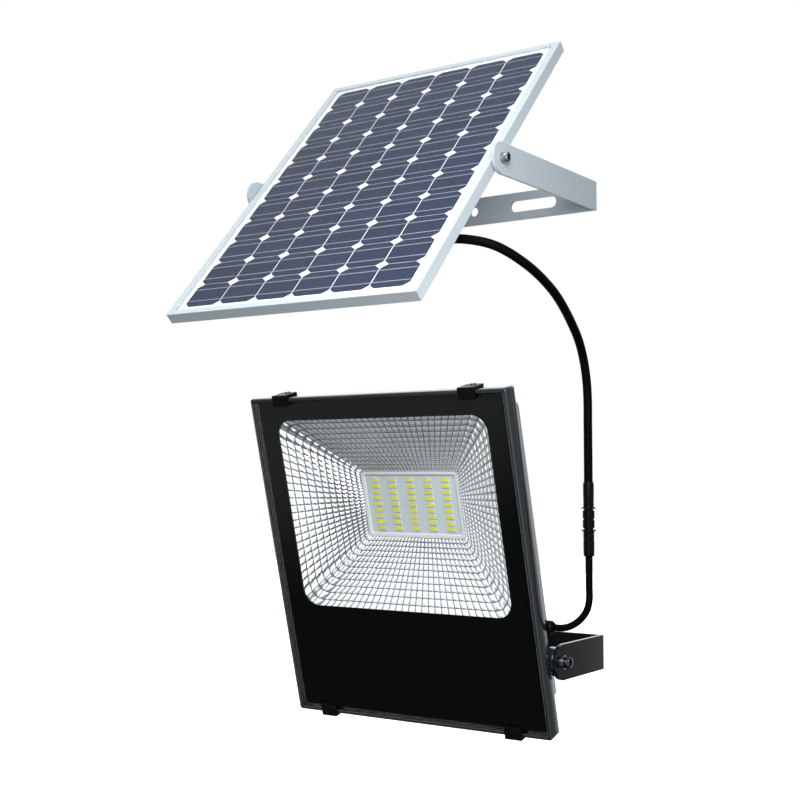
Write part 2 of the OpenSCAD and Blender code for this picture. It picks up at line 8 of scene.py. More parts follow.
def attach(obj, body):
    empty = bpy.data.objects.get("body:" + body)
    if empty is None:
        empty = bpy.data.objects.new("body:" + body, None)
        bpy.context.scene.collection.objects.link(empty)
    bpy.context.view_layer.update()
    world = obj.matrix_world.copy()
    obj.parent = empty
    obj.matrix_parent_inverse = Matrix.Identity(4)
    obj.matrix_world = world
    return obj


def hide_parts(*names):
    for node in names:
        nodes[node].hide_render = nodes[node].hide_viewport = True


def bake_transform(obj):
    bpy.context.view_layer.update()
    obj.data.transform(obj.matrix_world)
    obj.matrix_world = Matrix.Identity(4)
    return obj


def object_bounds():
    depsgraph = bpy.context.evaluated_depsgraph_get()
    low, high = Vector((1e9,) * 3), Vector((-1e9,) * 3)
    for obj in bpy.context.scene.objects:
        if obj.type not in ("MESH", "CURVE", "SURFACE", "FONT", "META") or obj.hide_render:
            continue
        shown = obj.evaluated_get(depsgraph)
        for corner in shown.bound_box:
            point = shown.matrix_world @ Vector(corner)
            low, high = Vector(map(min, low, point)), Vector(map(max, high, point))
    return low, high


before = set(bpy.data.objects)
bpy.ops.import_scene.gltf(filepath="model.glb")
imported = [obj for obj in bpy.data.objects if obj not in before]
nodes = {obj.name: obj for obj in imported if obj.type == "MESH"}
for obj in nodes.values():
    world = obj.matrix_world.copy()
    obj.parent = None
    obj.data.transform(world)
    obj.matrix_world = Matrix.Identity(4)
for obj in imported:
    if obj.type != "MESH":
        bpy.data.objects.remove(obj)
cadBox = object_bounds()
mm = 0.001

# camera first, then the leads

cameraSetup = {
    "place": (0.47879, -0.78751, 0.11772),
    "turn": (93.3, 0.0, 34.43),  # degrees
    "lens": 57.85,
}


def makeCamera(setup):
    data = bpy.data.cameras.new("productCamera")
    data.lens = setup["lens"]
    data.sensor_width = 36
    data.clip_start = 0.01
    data.clip_end = 60
    camera = bpy.data.objects.new("productCamera", data)
    camera.location = setup["place"]
    camera.rotation_euler = [radians(a) for a in setup["turn"]]
    bpy.context.scene.collection.objects.link(camera)
    bpy.context.scene.camera = camera


makeCamera(cameraSetup)
bpy.context.scene.view_settings.view_transform = "Standard"
print("camera ready")

# where the two tilting units sit; their own frames are in mm, x across, y back, z up

lampUnit = {"pivot": (0, -58.4, 0), "lean": 14.6, "pivotInside": (0, 21.4, -68)}
panelUnit = {"pivot": (5, -128.8, 306), "lean": -42.7, "pivotInside": (0, 3.6, 0)}


def unitMatrix(unit):
    return (
        Matrix.Diagonal((mm, mm, mm, 1))
        @ Matrix.Translation(unit["pivot"])
        @ Matrix.Rotation(radians(unit["lean"]), 4, "X")
        @ Matrix.Translation([-v for v in unit["pivotInside"]])
    )


onLamp = unitMatrix(lampUnit)
onPanel = unitMatrix(panelUnit)
onWall = Matrix.Diagonal((mm, mm, mm, 1))


def finishMesh(mesh, angle, turnOut=True):
    if turnOut:
        bm = bmesh.new()
        bm.from_mesh(mesh)
        bmesh.ops.recalc_face_normals(bm, faces=bm.faces)
        bm.to_mesh(mesh)
        bm.free()
    mesh.shade_smooth()
    mesh.set_sharp_from_angle(angle=radians(angle))


def asPiece(name, mesh, matrix, material, body, replaces=(), angle=32, turnOut=True):
    mesh.name = name
    mesh.transform(matrix)
    mesh.materials.clear()
    mesh.materials.append(material)
    finishMesh(mesh, angle, turnOut)
    piece = bpy.data.objects.new(name, mesh)
    bpy.context.scene.collection.objects.link(piece)
    if body:
        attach(piece, body)
    if replaces:
        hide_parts(*replaces)
    return piece


# each shell is a list of rings with the same number of points, and whether its two ends are closed
def loftMesh(shells):
    bm = bmesh.new()
    for rings, closeStart, closeEnd in shells:
        loops = [[bm.verts.new(p) for p in ring] for ring in rings]
        count = len(loops[0])
        for a, b in zip(loops, loops[1:]):
            for i in range(count):
                j = (i + 1) % count
                bm.faces.new((a[i], a[j], b[j], b[i]))
        if closeStart:
            bm.faces.new(loops[0])
        if closeEnd:
            bm.faces.new(loops[-1])
    mesh = bpy.data.meshes.new("loft")
    bm.to_mesh(mesh)
    bm.free()
    return mesh


def roundRect(y, w, h, r, centreZ=0.0, steps=8):
    points = []
    for k, (sx, sz) in enumerate(((1, 1), (-1, 1), (-1, -1), (1, -1))):
        for i in range(steps + 1):
            a = pi / 2 * (k + i / steps)
            points.append((sx * (w / 2 - r) + r * cos(a), y, centreZ + sz * (h / 2 - r) + r * sin(a)))
    return points


def ringX(x, r, sides=48, flats=0):
    points = []
    for i in range(sides):
        a = 2 * pi * i / sides
        reach = r
        if flats:  # r is then the distance from the middle to a flat
            half = pi / flats
            reach = r / cos((a + half) % (2 * half) - half)
        points.append((x, reach * cos(a), reach * sin(a)))
    return points


# a profile holds (place along X, radius) or (place, distance to a flat, number of flats)
def turned(profile, sides=48):
    return [ringX(p[0], p[1], sides, p[2] if len(p) > 2 else 0) for p in profile]


def mirrored(mesh):
    both = bmesh.new()
    both.from_mesh(mesh)
    copy = bmesh.ops.duplicate(both, geom=both.verts[:] + both.edges[:] + both.faces[:])["geom"]
    for v in [g for g in copy if isinstance(g, bmesh.types.BMVert)]:
        v.co.x = -v.co.x
    bmesh.ops.recalc_face_normals(both, faces=both.faces)
    both.to_mesh(mesh)
    both.free()
    return mesh


# a worked copy of a CAD node: merged, flats joined, and every sharp edge broken
def bevelledCopy(name, node, material, body, width, steps=2, angle=35):
    mesh = nodes[node].data.copy()
    bm = bmesh.new()
    bm.from_mesh(mesh)
    bmesh.ops.remove_doubles(bm, verts=bm.verts, dist=2e-6)
    bmesh.ops.dissolve_limit(bm, angle_limit=radians(0.4), verts=bm.verts, edges=bm.edges)
    bm.to_mesh(mesh)
    bm.free()
    piece = asPiece(name, mesh, Matrix.Identity(4), material, body, (node,), turnOut=False)
    edge = piece.modifiers.new("brokenEdges", "BEVEL")
    edge.width = width * mm
    edge.segments = steps
    edge.limit_method = "ANGLE"
    edge.angle_limit = radians(angle)
    edge.use_clamp_overlap = True
    edge.harden_normals = True
    return piece


def addSockets(tree, inputs, outputs):
    for label, kind, value in inputs:
        socket = tree.interface.new_socket(label, in_out="INPUT", socket_type="NodeSocket" + kind)
        if value is not None:
            socket.default_value = value
    for label, kind in outputs:
        tree.interface.new_socket(label, in_out="OUTPUT", socket_type="NodeSocket" + kind)
    return tree, tree.nodes.new("NodeGroupInput").outputs, tree.nodes.new("NodeGroupOutput").inputs


def newTree(name, sockets):
    tree = bpy.data.node_groups.new(name, "GeometryNodeTree")
    return addSockets(tree, [("Geometry", "Geometry", None), *sockets], [("Geometry", "Geometry")])


# a node with its inputs set: a socket is linked, anything else is a plain value
def put(tree, kind, inputs=None, **settings):
    made = tree.nodes.new(kind)
    for key, value in settings.items():
        setattr(made, key, value)
    for key, value in (inputs or {}).items():
        if isinstance(value, bpy.types.NodeSocket):
            tree.links.new(value, made.inputs[key])
        else:
            made.inputs[key].default_value = value
    return made


# one step of arithmetic
def calc(tree, operation, *values, clamp=False):
    return put(tree, "ShaderNodeMath", dict(enumerate(values)), operation=operation, use_clamp=clamp).outputs[0]


# a stretch of one range onto another
def ranged(tree, value, given, wanted=(0.0, 1.0), **settings):
    return put(tree, "ShaderNodeMapRange", {"Value": value, "From Min": given[0], "From Max": given[1],
                                            "To Min": wanted[0], "To Max": wanted[1]}, **settings).outputs[0]


# 1 at both ends of a run from 0 to 1, fading to 0 within a share of it
def nearEnds(tree, value, share):
    size = calc(tree, "ABSOLUTE", calc(tree, "SUBTRACT", value, 0.5))
    return ranged(tree, size, (0.5 - share, 0.5))


def mixed(tree, share, first, second):
    return put(tree, "ShaderNodeMix", {"Factor": share, 6: first, 7: second}, data_type="RGBA").outputs[2]


# every geometry tree ends with real, painted geometry
def paintedTree(tree, last, i, o):
    real = put(tree, "GeometryNodeRealizeInstances", {0: last.outputs[0]})
    painted = put(tree, "GeometryNodeSetMaterial", {"Geometry": real.outputs[0], "Material": i["Material"]})
    tree.links.new(painted.outputs[0], o[0])
    return tree


def buildGridTree():
    tree, i, o = newTree("rowsAndColumns", [
        ("Columns", "Int", 2), ("Rows", "Int", 2), ("Step X", "Float", 10.0), ("Step Z", "Float", 10.0),
        ("Seed", "Int", 0), ("Material", "Material", None),
    ])

    def firstPlace(count, step):
        span = calc(tree, "MULTIPLY", calc(tree, "ADD", i[count], -1.0), i[step])
        return calc(tree, "MULTIPLY", span, -0.5)

    startX = put(tree, "ShaderNodeCombineXYZ", {"X": firstPlace("Columns", "Step X")})
    stepX = put(tree, "ShaderNodeCombineXYZ", {"X": i["Step X"]})
    startZ = put(tree, "ShaderNodeCombineXYZ", {"Z": firstPlace("Rows", "Step Z")})
    stepZ = put(tree, "ShaderNodeCombineXYZ", {"Z": i["Step Z"]})
    columns = put(tree, "GeometryNodeMeshLine",
                  {"Count": i["Columns"], "Start Location": startX.outputs[0], "Offset": stepX.outputs[0]})
    rows = put(tree, "GeometryNodeMeshLine",
               {"Count": i["Rows"], "Start Location": startZ.outputs[0], "Offset": stepZ.outputs[0]})
    grid = put(tree, "GeometryNodeInstanceOnPoints", {"Points": columns.outputs[0], "Instance": rows.outputs[0]})
    flat = put(tree, "GeometryNodeRealizeInstances", {0: grid.outputs[0]})
    copies = put(tree, "GeometryNodeInstanceOnPoints", {"Points": flat.outputs[0], "Instance": i["Geometry"]})
    chance = put(tree, "FunctionNodeRandomValue", {"Seed": i["Seed"]}, data_type="FLOAT")
    marked = put(tree, "GeometryNodeStoreNamedAttribute",
                 {"Geometry": copies.outputs[0], "Name": "shade", "Value": chance.outputs[1]},
                 data_type="FLOAT", domain="INSTANCE")
    return paintedTree(tree, marked, i, o)


def buildCircleTree():
    tree, i, o = newTree("aroundAnAxis", [
        ("Count", "Int", 12), ("Radius", "Float", 4.0), ("Material", "Material", None),
    ])
    line = put(tree, "GeometryNodeMeshLine", {"Count": i["Count"], "Offset": (0, 0, 0)})
    index = put(tree, "GeometryNodeInputIndex")
    share = calc(tree, "DIVIDE", index.outputs[0], i["Count"])
    angle = calc(tree, "MULTIPLY", share, 2 * pi)
    turn = put(tree, "ShaderNodeCombineXYZ", {"X": angle})
    reach = put(tree, "ShaderNodeCombineXYZ", {"Y": i["Radius"]})
    place = put(tree, "ShaderNodeVectorRotate", {"Vector": reach.outputs[0], "Rotation": turn.outputs[0]},
                rotation_type="EULER_XYZ")
    spread = put(tree, "GeometryNodeSetPosition", {"Geometry": line.outputs[0], "Position": place.outputs[0]})
    copies = put(tree, "GeometryNodeInstanceOnPoints",
                 {"Points": spread.outputs[0], "Instance": i["Geometry"], "Rotation": turn.outputs[0]})
    return paintedTree(tree, copies, i, o)


def buildPillowTree():
    tree, i, o = newTree("pillowFacets", [
        ("Fineness", "Int", 2), ("Crown", "Float", 0.3), ("Flatness", "Float", 2.0),
        ("Material", "Material", None),
    ])
    apart = put(tree, "GeometryNodeSplitEdges", {"Mesh": i["Geometry"]})
    facing = put(tree, "GeometryNodeInputNormal")
    kept = put(tree, "GeometryNodeStoreNamedAttribute",
               {"Geometry": apart.outputs[0], "Name": "facing", "Value": facing.outputs[0]},
               data_type="FLOAT_VECTOR", domain="FACE")
    fine = put(tree, "GeometryNodeSubdivideMesh", {"Mesh": kept.outputs[0], "Level": i["Fineness"]})
    uv = put(tree, "GeometryNodeInputNamedAttribute", {"Name": "facetUV"}, data_type="FLOAT_VECTOR")
    parts = put(tree, "ShaderNodeSeparateXYZ", {0: uv.outputs[0]})

    def bulge(side):
        off = calc(tree, "SUBTRACT", side, 0.5)
        twice = calc(tree, "MULTIPLY", off, 2.0)
        size = calc(tree, "ABSOLUTE", twice)
        power = calc(tree, "POWER", size, i["Flatness"])
        return calc(tree, "SUBTRACT", 1.0, power)

    height = calc(tree, "MULTIPLY", bulge(parts.outputs[0]), bulge(parts.outputs[1]))
    raised = calc(tree, "MULTIPLY", height, i["Crown"])
    out = put(tree, "GeometryNodeInputNamedAttribute", {"Name": "facing"}, data_type="FLOAT_VECTOR")
    shift = put(tree, "ShaderNodeVectorMath", {0: out.outputs[0], "Scale": raised}, operation="SCALE")
    moved = put(tree, "GeometryNodeSetPosition", {"Geometry": fine.outputs[0], "Offset": shift.outputs[0]})
    return paintedTree(tree, moved, i, o)


gridTree = buildGridTree()
circleTree = buildCircleTree()
pillowTree = buildPillowTree()


# runs a tree on a mesh and gives back a plain mesh
def grown(mesh, tree, values):
    carrier = bpy.data.objects.new("carrier", mesh)
    bpy.context.scene.collection.objects.link(carrier)
    modifier = carrier.modifiers.new("grow", "NODES")
    modifier.node_group = tree
    for item in tree.interface.items_tree:
        if item.item_type == "SOCKET" and item.in_out == "INPUT" and item.name in values:
            modifier[item.identifier] = values[item.name]
    made = bpy.data.meshes.new_from_object(carrier.evaluated_get(bpy.context.evaluated_depsgraph_get()))
    carrier.modifiers.remove(modifier)
    bpy.data.objects.remove(carrier)
    return made


def newShaderGroup(name, inputs, outputs):
    return addSockets(bpy.data.node_groups.new(name, "ShaderNodeTree"), inputs, outputs)


# fine grain for bump, broad patches for colour and gloss, and the colour with both in it
def buildGrainGroup():
    tree, i, o = newShaderGroup(
        "grainAndPatches",
        [("Vector", "Vector", None), ("Colour", "Color", (0.5, 0.5, 0.5, 1)), ("Grain Size", "Float", 900.0),
         ("Patch Size", "Float", 18.0), ("Colour Change", "Float", 0.12), ("Gloss", "Float", 0.4),
         ("Gloss Change", "Float", 0.1)],
        [("Colour", "Color"), ("Gloss", "Float"), ("Grain", "Float")],
    )
    fine = put(tree, "ShaderNodeTexNoise", {"Vector": i["Vector"], "Scale": i["Grain Size"], "Detail": 2.0})
    broad = put(tree, "ShaderNodeTexNoise", {"Vector": i["Vector"], "Scale": i["Patch Size"], "Detail": 4.0})
    middle = calc(tree, "ADD", broad.outputs[0], -0.5)
    change = calc(tree, "MULTIPLY_ADD", middle, i["Colour Change"], 1.0)
    colour = put(tree, "ShaderNodeVectorMath", {0: i["Colour"], "Scale": change}, operation="SCALE")
    gloss = calc(tree, "MULTIPLY_ADD", middle, i["Gloss Change"], i["Gloss"], clamp=True)
    tree.links.new(colour.outputs[0], o["Colour"])
    tree.links.new(gloss, o["Gloss"])
    tree.links.new(fine.outputs[0], o["Grain"])
    return tree


# a light film of dust that settles on what faces up
def buildDustGroup():
    tree, i, o = newShaderGroup(
        "settledDust",
        [("Vector", "Vector", None), ("Colour", "Color", (0.5, 0.5, 0.5, 1)), ("Amount", "Float", 0.15),
         ("Gloss", "Float", 0.4)],
        [("Colour", "Color"), ("Gloss", "Float")],
    )
    facing = put(tree, "ShaderNodeSeparateXYZ", {0: put(tree, "ShaderNodeNewGeometry").outputs["Normal"]})
    up = ranged(tree, facing.outputs["Z"], (0.2, 1.0))
    speck = put(tree, "ShaderNodeTexNoise", {"Vector": i["Vector"], "Scale": 60.0, "Detail": 6.0})
    ragged = calc(tree, "MULTIPLY", up, speck.outputs[0])
    share = calc(tree, "MULTIPLY", ragged, i["Amount"], clamp=True)
    coloured = mixed(tree, share, i["Colour"], (0.55, 0.53, 0.5, 1))
    dull = calc(tree, "MULTIPLY_ADD", share, 0.5, i["Gloss"], clamp=True)
    tree.links.new(coloured, o["Colour"])
    tree.links.new(dull, o["Gloss"])
    return tree


# long fine scratches from drawing or turning, as a height and as a roughness
def buildBrushedGroup():
    tree, i, o = newShaderGroup(
        "drawnLines",
        [("Vector", "Vector", None), ("Stretch", "Vector", (1.0, 60.0, 60.0)), ("Gloss", "Float", 0.3),
         ("Depth", "Float", 0.1)],
        [("Gloss", "Float"), ("Lines", "Float")],
    )
    long = put(tree, "ShaderNodeVectorMath", {0: i["Vector"], 1: i["Stretch"]}, operation="MULTIPLY")
    lines = put(tree, "ShaderNodeTexNoise", {"Vector": long.outputs[0], "Scale": 40.0, "Detail": 5.0})
    middle = calc(tree, "ADD", lines.outputs[0], -0.5)
    gloss = calc(tree, "MULTIPLY_ADD", middle, i["Depth"], i["Gloss"], clamp=True)
    tree.links.new(gloss, o["Gloss"])
    tree.links.new(lines.outputs[0], o["Lines"])
    return tree


grainGroup = buildGrainGroup()
dustGroup = buildDustGroup()
brushedGroup = buildBrushedGroup()


def useGroup(tree, group, values):
    return put(tree, "ShaderNodeGroup", values, node_tree=group)


# the grain group on a colour, joined to the shader
def joinGrain(tree, shader, values):
    grain = useGroup(tree, grainGroup, values)
    tree.links.new(grain.outputs["Colour"], shader.inputs["Base Color"])
    tree.links.new(grain.outputs["Gloss"], shader.inputs["Roughness"])
    return grain.outputs["Grain"]


def newMaterial(name, plain):
    material = bpy.data.materials.new(name)
    material.use_nodes = True
    tree = material.node_tree
    shader = tree.nodes["Principled BSDF"]
    for key, value in plain.items():
        shader.inputs[key].default_value = value
    where = tree.nodes.new("ShaderNodeTexCoord").outputs["Object"]
    return material, tree, shader, where


def addBump(tree, shader, height, strength, distance):
    bump = put(tree, "ShaderNodeBump", {"Height": height, "Strength": strength, "Distance": distance})
    tree.links.new(bump.outputs[0], shader.inputs["Normal"])


# places on a tilted unit, in metres from its pivot
def unitPlaces(tree, where, unit):
    local = put(tree, "ShaderNodeMapping", {"Vector": where, "Location": [c * mm for c in unit["pivot"]],
                                            "Rotation": (radians(unit["lean"]), 0, 0)}, vector_type="TEXTURE")
    return put(tree, "ShaderNodeSeparateXYZ", {0: local.outputs[0]}).outputs


# paint, moulding or casting with its grain, patches and a little dust
def grainyMaterial(name, look):
    plain = {"Specular IOR Level": look.get("shine", 0.5), **look.get("plain", {})}
    material, tree, shader, where = newMaterial(name, plain)
    grain = useGroup(tree, grainGroup, {
        "Vector": where, "Colour": (*look["colour"], 1), "Grain Size": look["grainSize"],
        "Patch Size": look.get("patchSize", 18.0), "Colour Change": look.get("colourChange", 0.12),
        "Gloss": look["gloss"], "Gloss Change": look.get("glossChange", 0.08),
    })
    dust = useGroup(tree, dustGroup, {
        "Vector": where, "Colour": grain.outputs["Colour"], "Gloss": grain.outputs["Gloss"],
        "Amount": look.get("dust", 0.04),
    })
    tree.links.new(dust.outputs["Colour"], shader.inputs["Base Color"])
    tree.links.new(dust.outputs["Gloss"], shader.inputs["Roughness"])
    addBump(tree, shader, grain.outputs["Grain"], look.get("bump", 0.15), 0.0001)
    return material


def metalMaterial(name, look):
    material, tree, shader, where = newMaterial(name, {"Metallic": look.get("metallic", 1.0)})
    drawn = useGroup(tree, brushedGroup, {
        "Vector": where, "Stretch": look["stretch"], "Gloss": look["gloss"], "Depth": look["depth"],
    })
    patches = useGroup(tree, grainGroup, {
        "Vector": where, "Colour": (*look["colour"], 1), "Colour Change": look.get("colourChange", 0.1),
        "Patch Size": 25.0,
    })
    tree.links.new(patches.outputs["Colour"], shader.inputs["Base Color"])
    tree.links.new(drawn.outputs["Gloss"], shader.inputs["Roughness"])
    addBump(tree, shader, drawn.outputs["Lines"], look.get("bump", 0.1), 0.00005)
    return material


# glass that lets lamps and soft light through to what is behind it
def clearMaterial(name, look):
    material, tree, shader, where = newMaterial(name, {
        "Base Color": (*look["colour"], 1), "IOR": look["ior"], "Transmission Weight": 1.0, "Metallic": 0.0,
    })
    smears = put(tree, "ShaderNodeTexNoise", {"Vector": where, "Scale": 14.0, "Detail": 3.0})
    gloss = ranged(tree, smears.outputs[0], (0.5, 0.9), (look["gloss"], look["gloss"] + 0.03))
    tree.links.new(gloss, shader.inputs["Roughness"])
    path = put(tree, "ShaderNodeLightPath")
    lamps = calc(tree, "MAXIMUM", path.outputs["Is Shadow Ray"], path.outputs["Is Diffuse Ray"])
    through = put(tree, "ShaderNodeBsdfTransparent", {"Color": (0.95, 0.97, 0.97, 1)})
    both = put(tree, "ShaderNodeMixShader", {0: lamps, 1: shader.outputs[0], 2: through.outputs[0]})
    tree.links.new(both.outputs[0], tree.nodes["Material Output"].inputs["Surface"])
    return material


blackJacket = grainyMaterial("blackJacket", {
    "colour": (0.002, 0.002, 0.0022), "grainSize": 1500.0, "gloss": 0.5, "bump": 0.12, "dust": 0.0,
    "shine": 0.02})
blackPlastic = grainyMaterial("blackPlastic", {
    "colour": (0.0035, 0.0037, 0.004), "grainSize": 1900.0, "gloss": 0.36, "bump": 0.2, "dust": 0.0,
    "shine": 0.06})
darkGloss = grainyMaterial("darkGloss", {
    "colour": (0.016, 0.02, 0.023), "grainSize": 260.0, "gloss": 0.1, "bump": 0.01, "dust": 0.0,
    "glossChange": 0.03, "plain": {"Coat Weight": 0.2, "Coat Roughness": 0.03}})
darkPaint = grainyMaterial("darkPaint", {
    "colour": (0.006, 0.0075, 0.0085), "grainSize": 700.0, "gloss": 0.16, "bump": 0.02, "dust": 0.006,
    "glossChange": 0.04, "shine": 0.22})
silverPaint = grainyMaterial("silverPaint", {
    "colour": (0.4, 0.455, 0.5), "grainSize": 1400.0, "gloss": 0.42, "bump": 0.1, "dust": 0.03})
blackPrint = grainyMaterial("blackPrint", {
    "colour": (0.0025, 0.0027, 0.0027), "grainSize": 400.0, "gloss": 0.5, "bump": 0.01, "dust": 0.0,
    "shine": 0.0})
blackRubber = grainyMaterial("blackRubber", {
    "colour": (0.003, 0.003, 0.003), "grainSize": 1200.0, "gloss": 0.6, "bump": 0.2, "dust": 0.0,
    "shine": 0.1})
whitePlastic = grainyMaterial("whitePlastic", {
    "colour": (0.8, 0.81, 0.81), "grainSize": 1500.0, "gloss": 0.4, "bump": 0.1, "dust": 0.0})
greenPlastic = grainyMaterial("greenPlastic", {
    "colour": (0.05, 0.3, 0.1), "grainSize": 1200.0, "gloss": 0.4})
greenBoard = grainyMaterial("greenBoard", {
    "colour": (0.02, 0.16, 0.06), "grainSize": 500.0, "gloss": 0.25})
blueSleeve = grainyMaterial("blueSleeve", {
    "colour": (0.04, 0.2, 0.42), "grainSize": 300.0, "gloss": 0.22, "bump": 0.05})
redInsulation = grainyMaterial("redInsulation", {
    "colour": (0.4, 0.025, 0.02), "grainSize": 900.0, "gloss": 0.35})
whiteSheet = grainyMaterial("whiteSheet", {
    "colour": (0.94, 0.945, 0.95), "grainSize": 900.0, "gloss": 0.42, "bump": 0.05, "dust": 0.0})
steel = metalMaterial("steel", {
    "colour": (0.36, 0.37, 0.38), "gloss": 0.22, "depth": 0.1, "stretch": (60.0, 4.0, 60.0)})
# a copy of the steel painted darker: painted shade standing in for the dark reflections on the lamp's pivot
# screws
shadeDarkenedSteel = metalMaterial("shadeDarkenedSteel", {
    "colour": (0.07, 0.075, 0.08), "gloss": 0.2, "depth": 0.08, "stretch": (60.0, 4.0, 60.0)})
# near-black finish for the socket linings: painted shade standing in for the dark inside of the recess
socketShadePaint = grainyMaterial("socketShadePaint", {
    "colour": (0.006, 0.006, 0.007), "grainSize": 1500.0, "gloss": 0.5, "dust": 0.0,
    "shine": 0.1})
nickel = metalMaterial("nickel", {
    "colour": (0.6, 0.6, 0.58), "gloss": 0.3, "depth": 0.2, "stretch": (4.0, 60.0, 60.0)})
anodised = metalMaterial("anodised", {
    "colour": (0.51, 0.575, 0.615), "gloss": 0.42, "depth": 0.08, "stretch": (30.0, 30.0, 2.0),
    "metallic": 0.25, "bump": 0.05})
clearGlass = clearMaterial("clearGlass", {"colour": (1, 1, 1), "ior": 1.4, "gloss": 0.0})
panelGlass = clearMaterial("panelGlass", {"colour": (1, 1, 1), "ior": 1.16, "gloss": 0.08})

print("finishes ready")


def smoothPath(points, steps):
    path = []
    count = len(points)
    vectors = [Vector(p) for p in points]
    for i in range(count - 1):
        p0 = vectors[max(i - 1, 0)]
        p1, p2 = vectors[i], vectors[i + 1]
        p3 = vectors[min(i + 2, count - 1)]
        for k in range(steps):
            t = k / steps
            path.append(0.5 * (2 * p1 + (p2 - p0) * t + (2 * p0 - 5 * p1 + 4 * p2 - p3) * t * t
                               + (3 * p1 - p0 - 3 * p2 + p3) * t * t * t))
    path.append(vectors[-1])
    return path


def tubeMesh(path, radius, sides):
    rings = []
    side = None
    for i, p in enumerate(path):
        way = (path[min(i + 1, len(path) - 1)] - path[max(i - 1, 0)]).normalized()
        side = way.orthogonal() if side is None else side - way * side.dot(way)
        side.normalize()
        up = way.cross(side)
        rings.append([p + radius * (cos(2 * pi * k / sides) * side + sin(2 * pi * k / sides) * up)
                      for k in range(sides)])
    return loftMesh([(rings, True, True)])


leads = {
    "panelLead": {
        "diameter": 5.5,
        "route": [
            (64, -164, 254), (74, -164, 254), (85, -164, 253.5), (95, -163.5, 252.5), (105, -161, 250.5),
            (112, -156, 248), (117, -149, 244.5), (120.5, -140.5, 240.5), (123, -130.5, 236), (124, -119, 231),
            (124.5, -107, 225), (124, -95, 218), (123, -83, 210), (122, -71.5, 200.5), (120.5, -62, 189.5),
            (120, -57, 177), (120, -55.5, 164), (120, -55.5, 151), (120, -55.5, 138), (120, -55.5, 125),
            (120, -55.5, 113),
        ],
    },
    "lampLead": {
        "diameter": 4.4,
        "route": [
            (120, -55.5, 66.5), (120, -55.5, 57), (120, -55.5, 47.5), (120, -55.5, 40), (118.5, -56, 33),
            (114.5, -57.5, 27), (109, -59.5, 23), (103.5, -60.5, 21.5), (98, -60.5, 21.5),
        ],
    },
}


def makeLead(name, replaced):
    facts = leads[name]
    path = smoothPath(facts["route"], 5)
    mesh = tubeMesh(path, facts["diameter"] / 2, 20)
    piece = asPiece(name, mesh, onWall, blackJacket, None, (replaced,), angle=60)
    line = [[c * mm for c in p] for p in path]
    length = sum((Vector(a) - Vector(b)).length for a, b in zip(line, line[1:]))
    return piece, line, length


panelLead, panelLine, panelLength = makeLead("panelLead", "upper_lead")
lampLead, lampLine, lampLength = makeLead("lampLead", "lower_lead")

connector = {"x": 120.0, "y": -55.5, "top": 113.0, "foot": 66.5, "nutTop": 95.3, "nutFoot": 83.9,
             "plugR": 3.4, "flangeR": 4.6, "nutR": 3.7, "coreR": 2.9, "ribs": 14}


# turned parts are drawn along X and stood up along Z here
def uprightAt(x, y):
    return onWall @ Matrix.Translation((x, y, 0)) @ Matrix.Rotation(radians(-90), 4, "Y")


# four shallow grooves for the fingers
def gripGrooves(first, r):
    profile = ((0.0, 0.0), (0.2, 0.22), (0.6, 0.22), (0.8, 0.0))
    return [(first + 1.5 * k + step, r - deep) for k in range(4) for step, deep in profile]


def makeConnector(c):
    place = uprightAt(c["x"], c["y"])
    middle = (c["nutTop"] + c["nutFoot"]) / 2
    upper, lower = c["nutTop"] + 0.8, c["nutFoot"] - 0.8
    r, top, foot, core, flange = c["plugR"], c["top"], c["foot"], c["coreR"], c["flangeR"]
    plug = [
        (middle + 0.02, core), (upper - 0.02, core), (upper, flange - 0.25), (upper + 0.1, flange),
        (upper + 0.7, flange), (upper + 0.8, flange - 0.25), (upper + 0.85, r + 0.05),
        *gripGrooves(upper + 1.6, r),
        (top - 1.6, r), (top - 0.9, r - 0.12), (top - 0.35, r - 0.4), (top, 2.98), (top, 2.78),
    ]
    socket = [
        (foot, 2.3), (foot, 2.75), (foot + 0.3, 3.05), (foot + 0.9, 3.35),
        *gripGrooves(lower - 7.4, r + 0.1),
        (lower - 0.86, r + 0.15), (lower - 0.8, flange - 0.25), (lower - 0.7, flange), (lower - 0.1, flange),
        (lower, flange - 0.25), (lower + 0.02, core), (middle - 0.02, core),
    ]
    plugPiece, socketPiece = (
        asPiece("connector" + end.title(), loftMesh([(turned(profile), True, True)]), place, blackPlastic,
                "wall_brackets", ("connector_" + end,))
        for end, profile in (("plug", plug), ("socket", socket)))
    a, b, n = c["nutFoot"] + 0.05, c["nutTop"] - 0.05, c["nutR"] - 0.28
    sleeve = [(a, core + 0.1), (a, n - 0.2), (a + 0.2, n), (middle - 0.35, n), (middle - 0.25, n - 0.25),
              (middle + 0.25, n - 0.25), (middle + 0.35, n), (b - 0.2, n), (b, n - 0.2), (b, core + 0.1),
              (a, core + 0.1)]
    body = loftMesh([(turned(sleeve), False, False)])
    rib = bmesh.new()
    for x0, x1 in ((a + 0.5, middle - 0.6), (middle + 0.6, b - 0.5)):
        corners = [(x, y, z) for x in (x0, x1)
                   for y, z in ((-0.3, -0.42), (0.28, -0.22), (0.28, 0.22), (-0.3, 0.42))]
        v = [rib.verts.new(p) for p in corners]
        for f in ((0, 1, 2, 3), (7, 6, 5, 4), (0, 4, 5, 1), (1, 5, 6, 2), (2, 6, 7, 3), (3, 7, 4, 0)):
            rib.faces.new([v[k] for k in f])
    one = bpy.data.meshes.new("rib")
    rib.to_mesh(one)
    rib.free()
    ribs = grown(one, circleTree, {"Count": c["ribs"], "Radius": n, "Material": blackPlastic})
    sleevePiece = asPiece("couplingNut", body, place, blackPlastic, "coupling_nut",
                          ("connector_nut",))
    ribPiece = asPiece("couplingNutRibs", ribs, place, blackPlastic, "coupling_nut")
    return [plugPiece, sleevePiece, ribPiece, socketPiece]


connectorPieces = makeConnector(connector)

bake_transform(panelLead)
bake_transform(lampLead)
print("leads and connector ready")


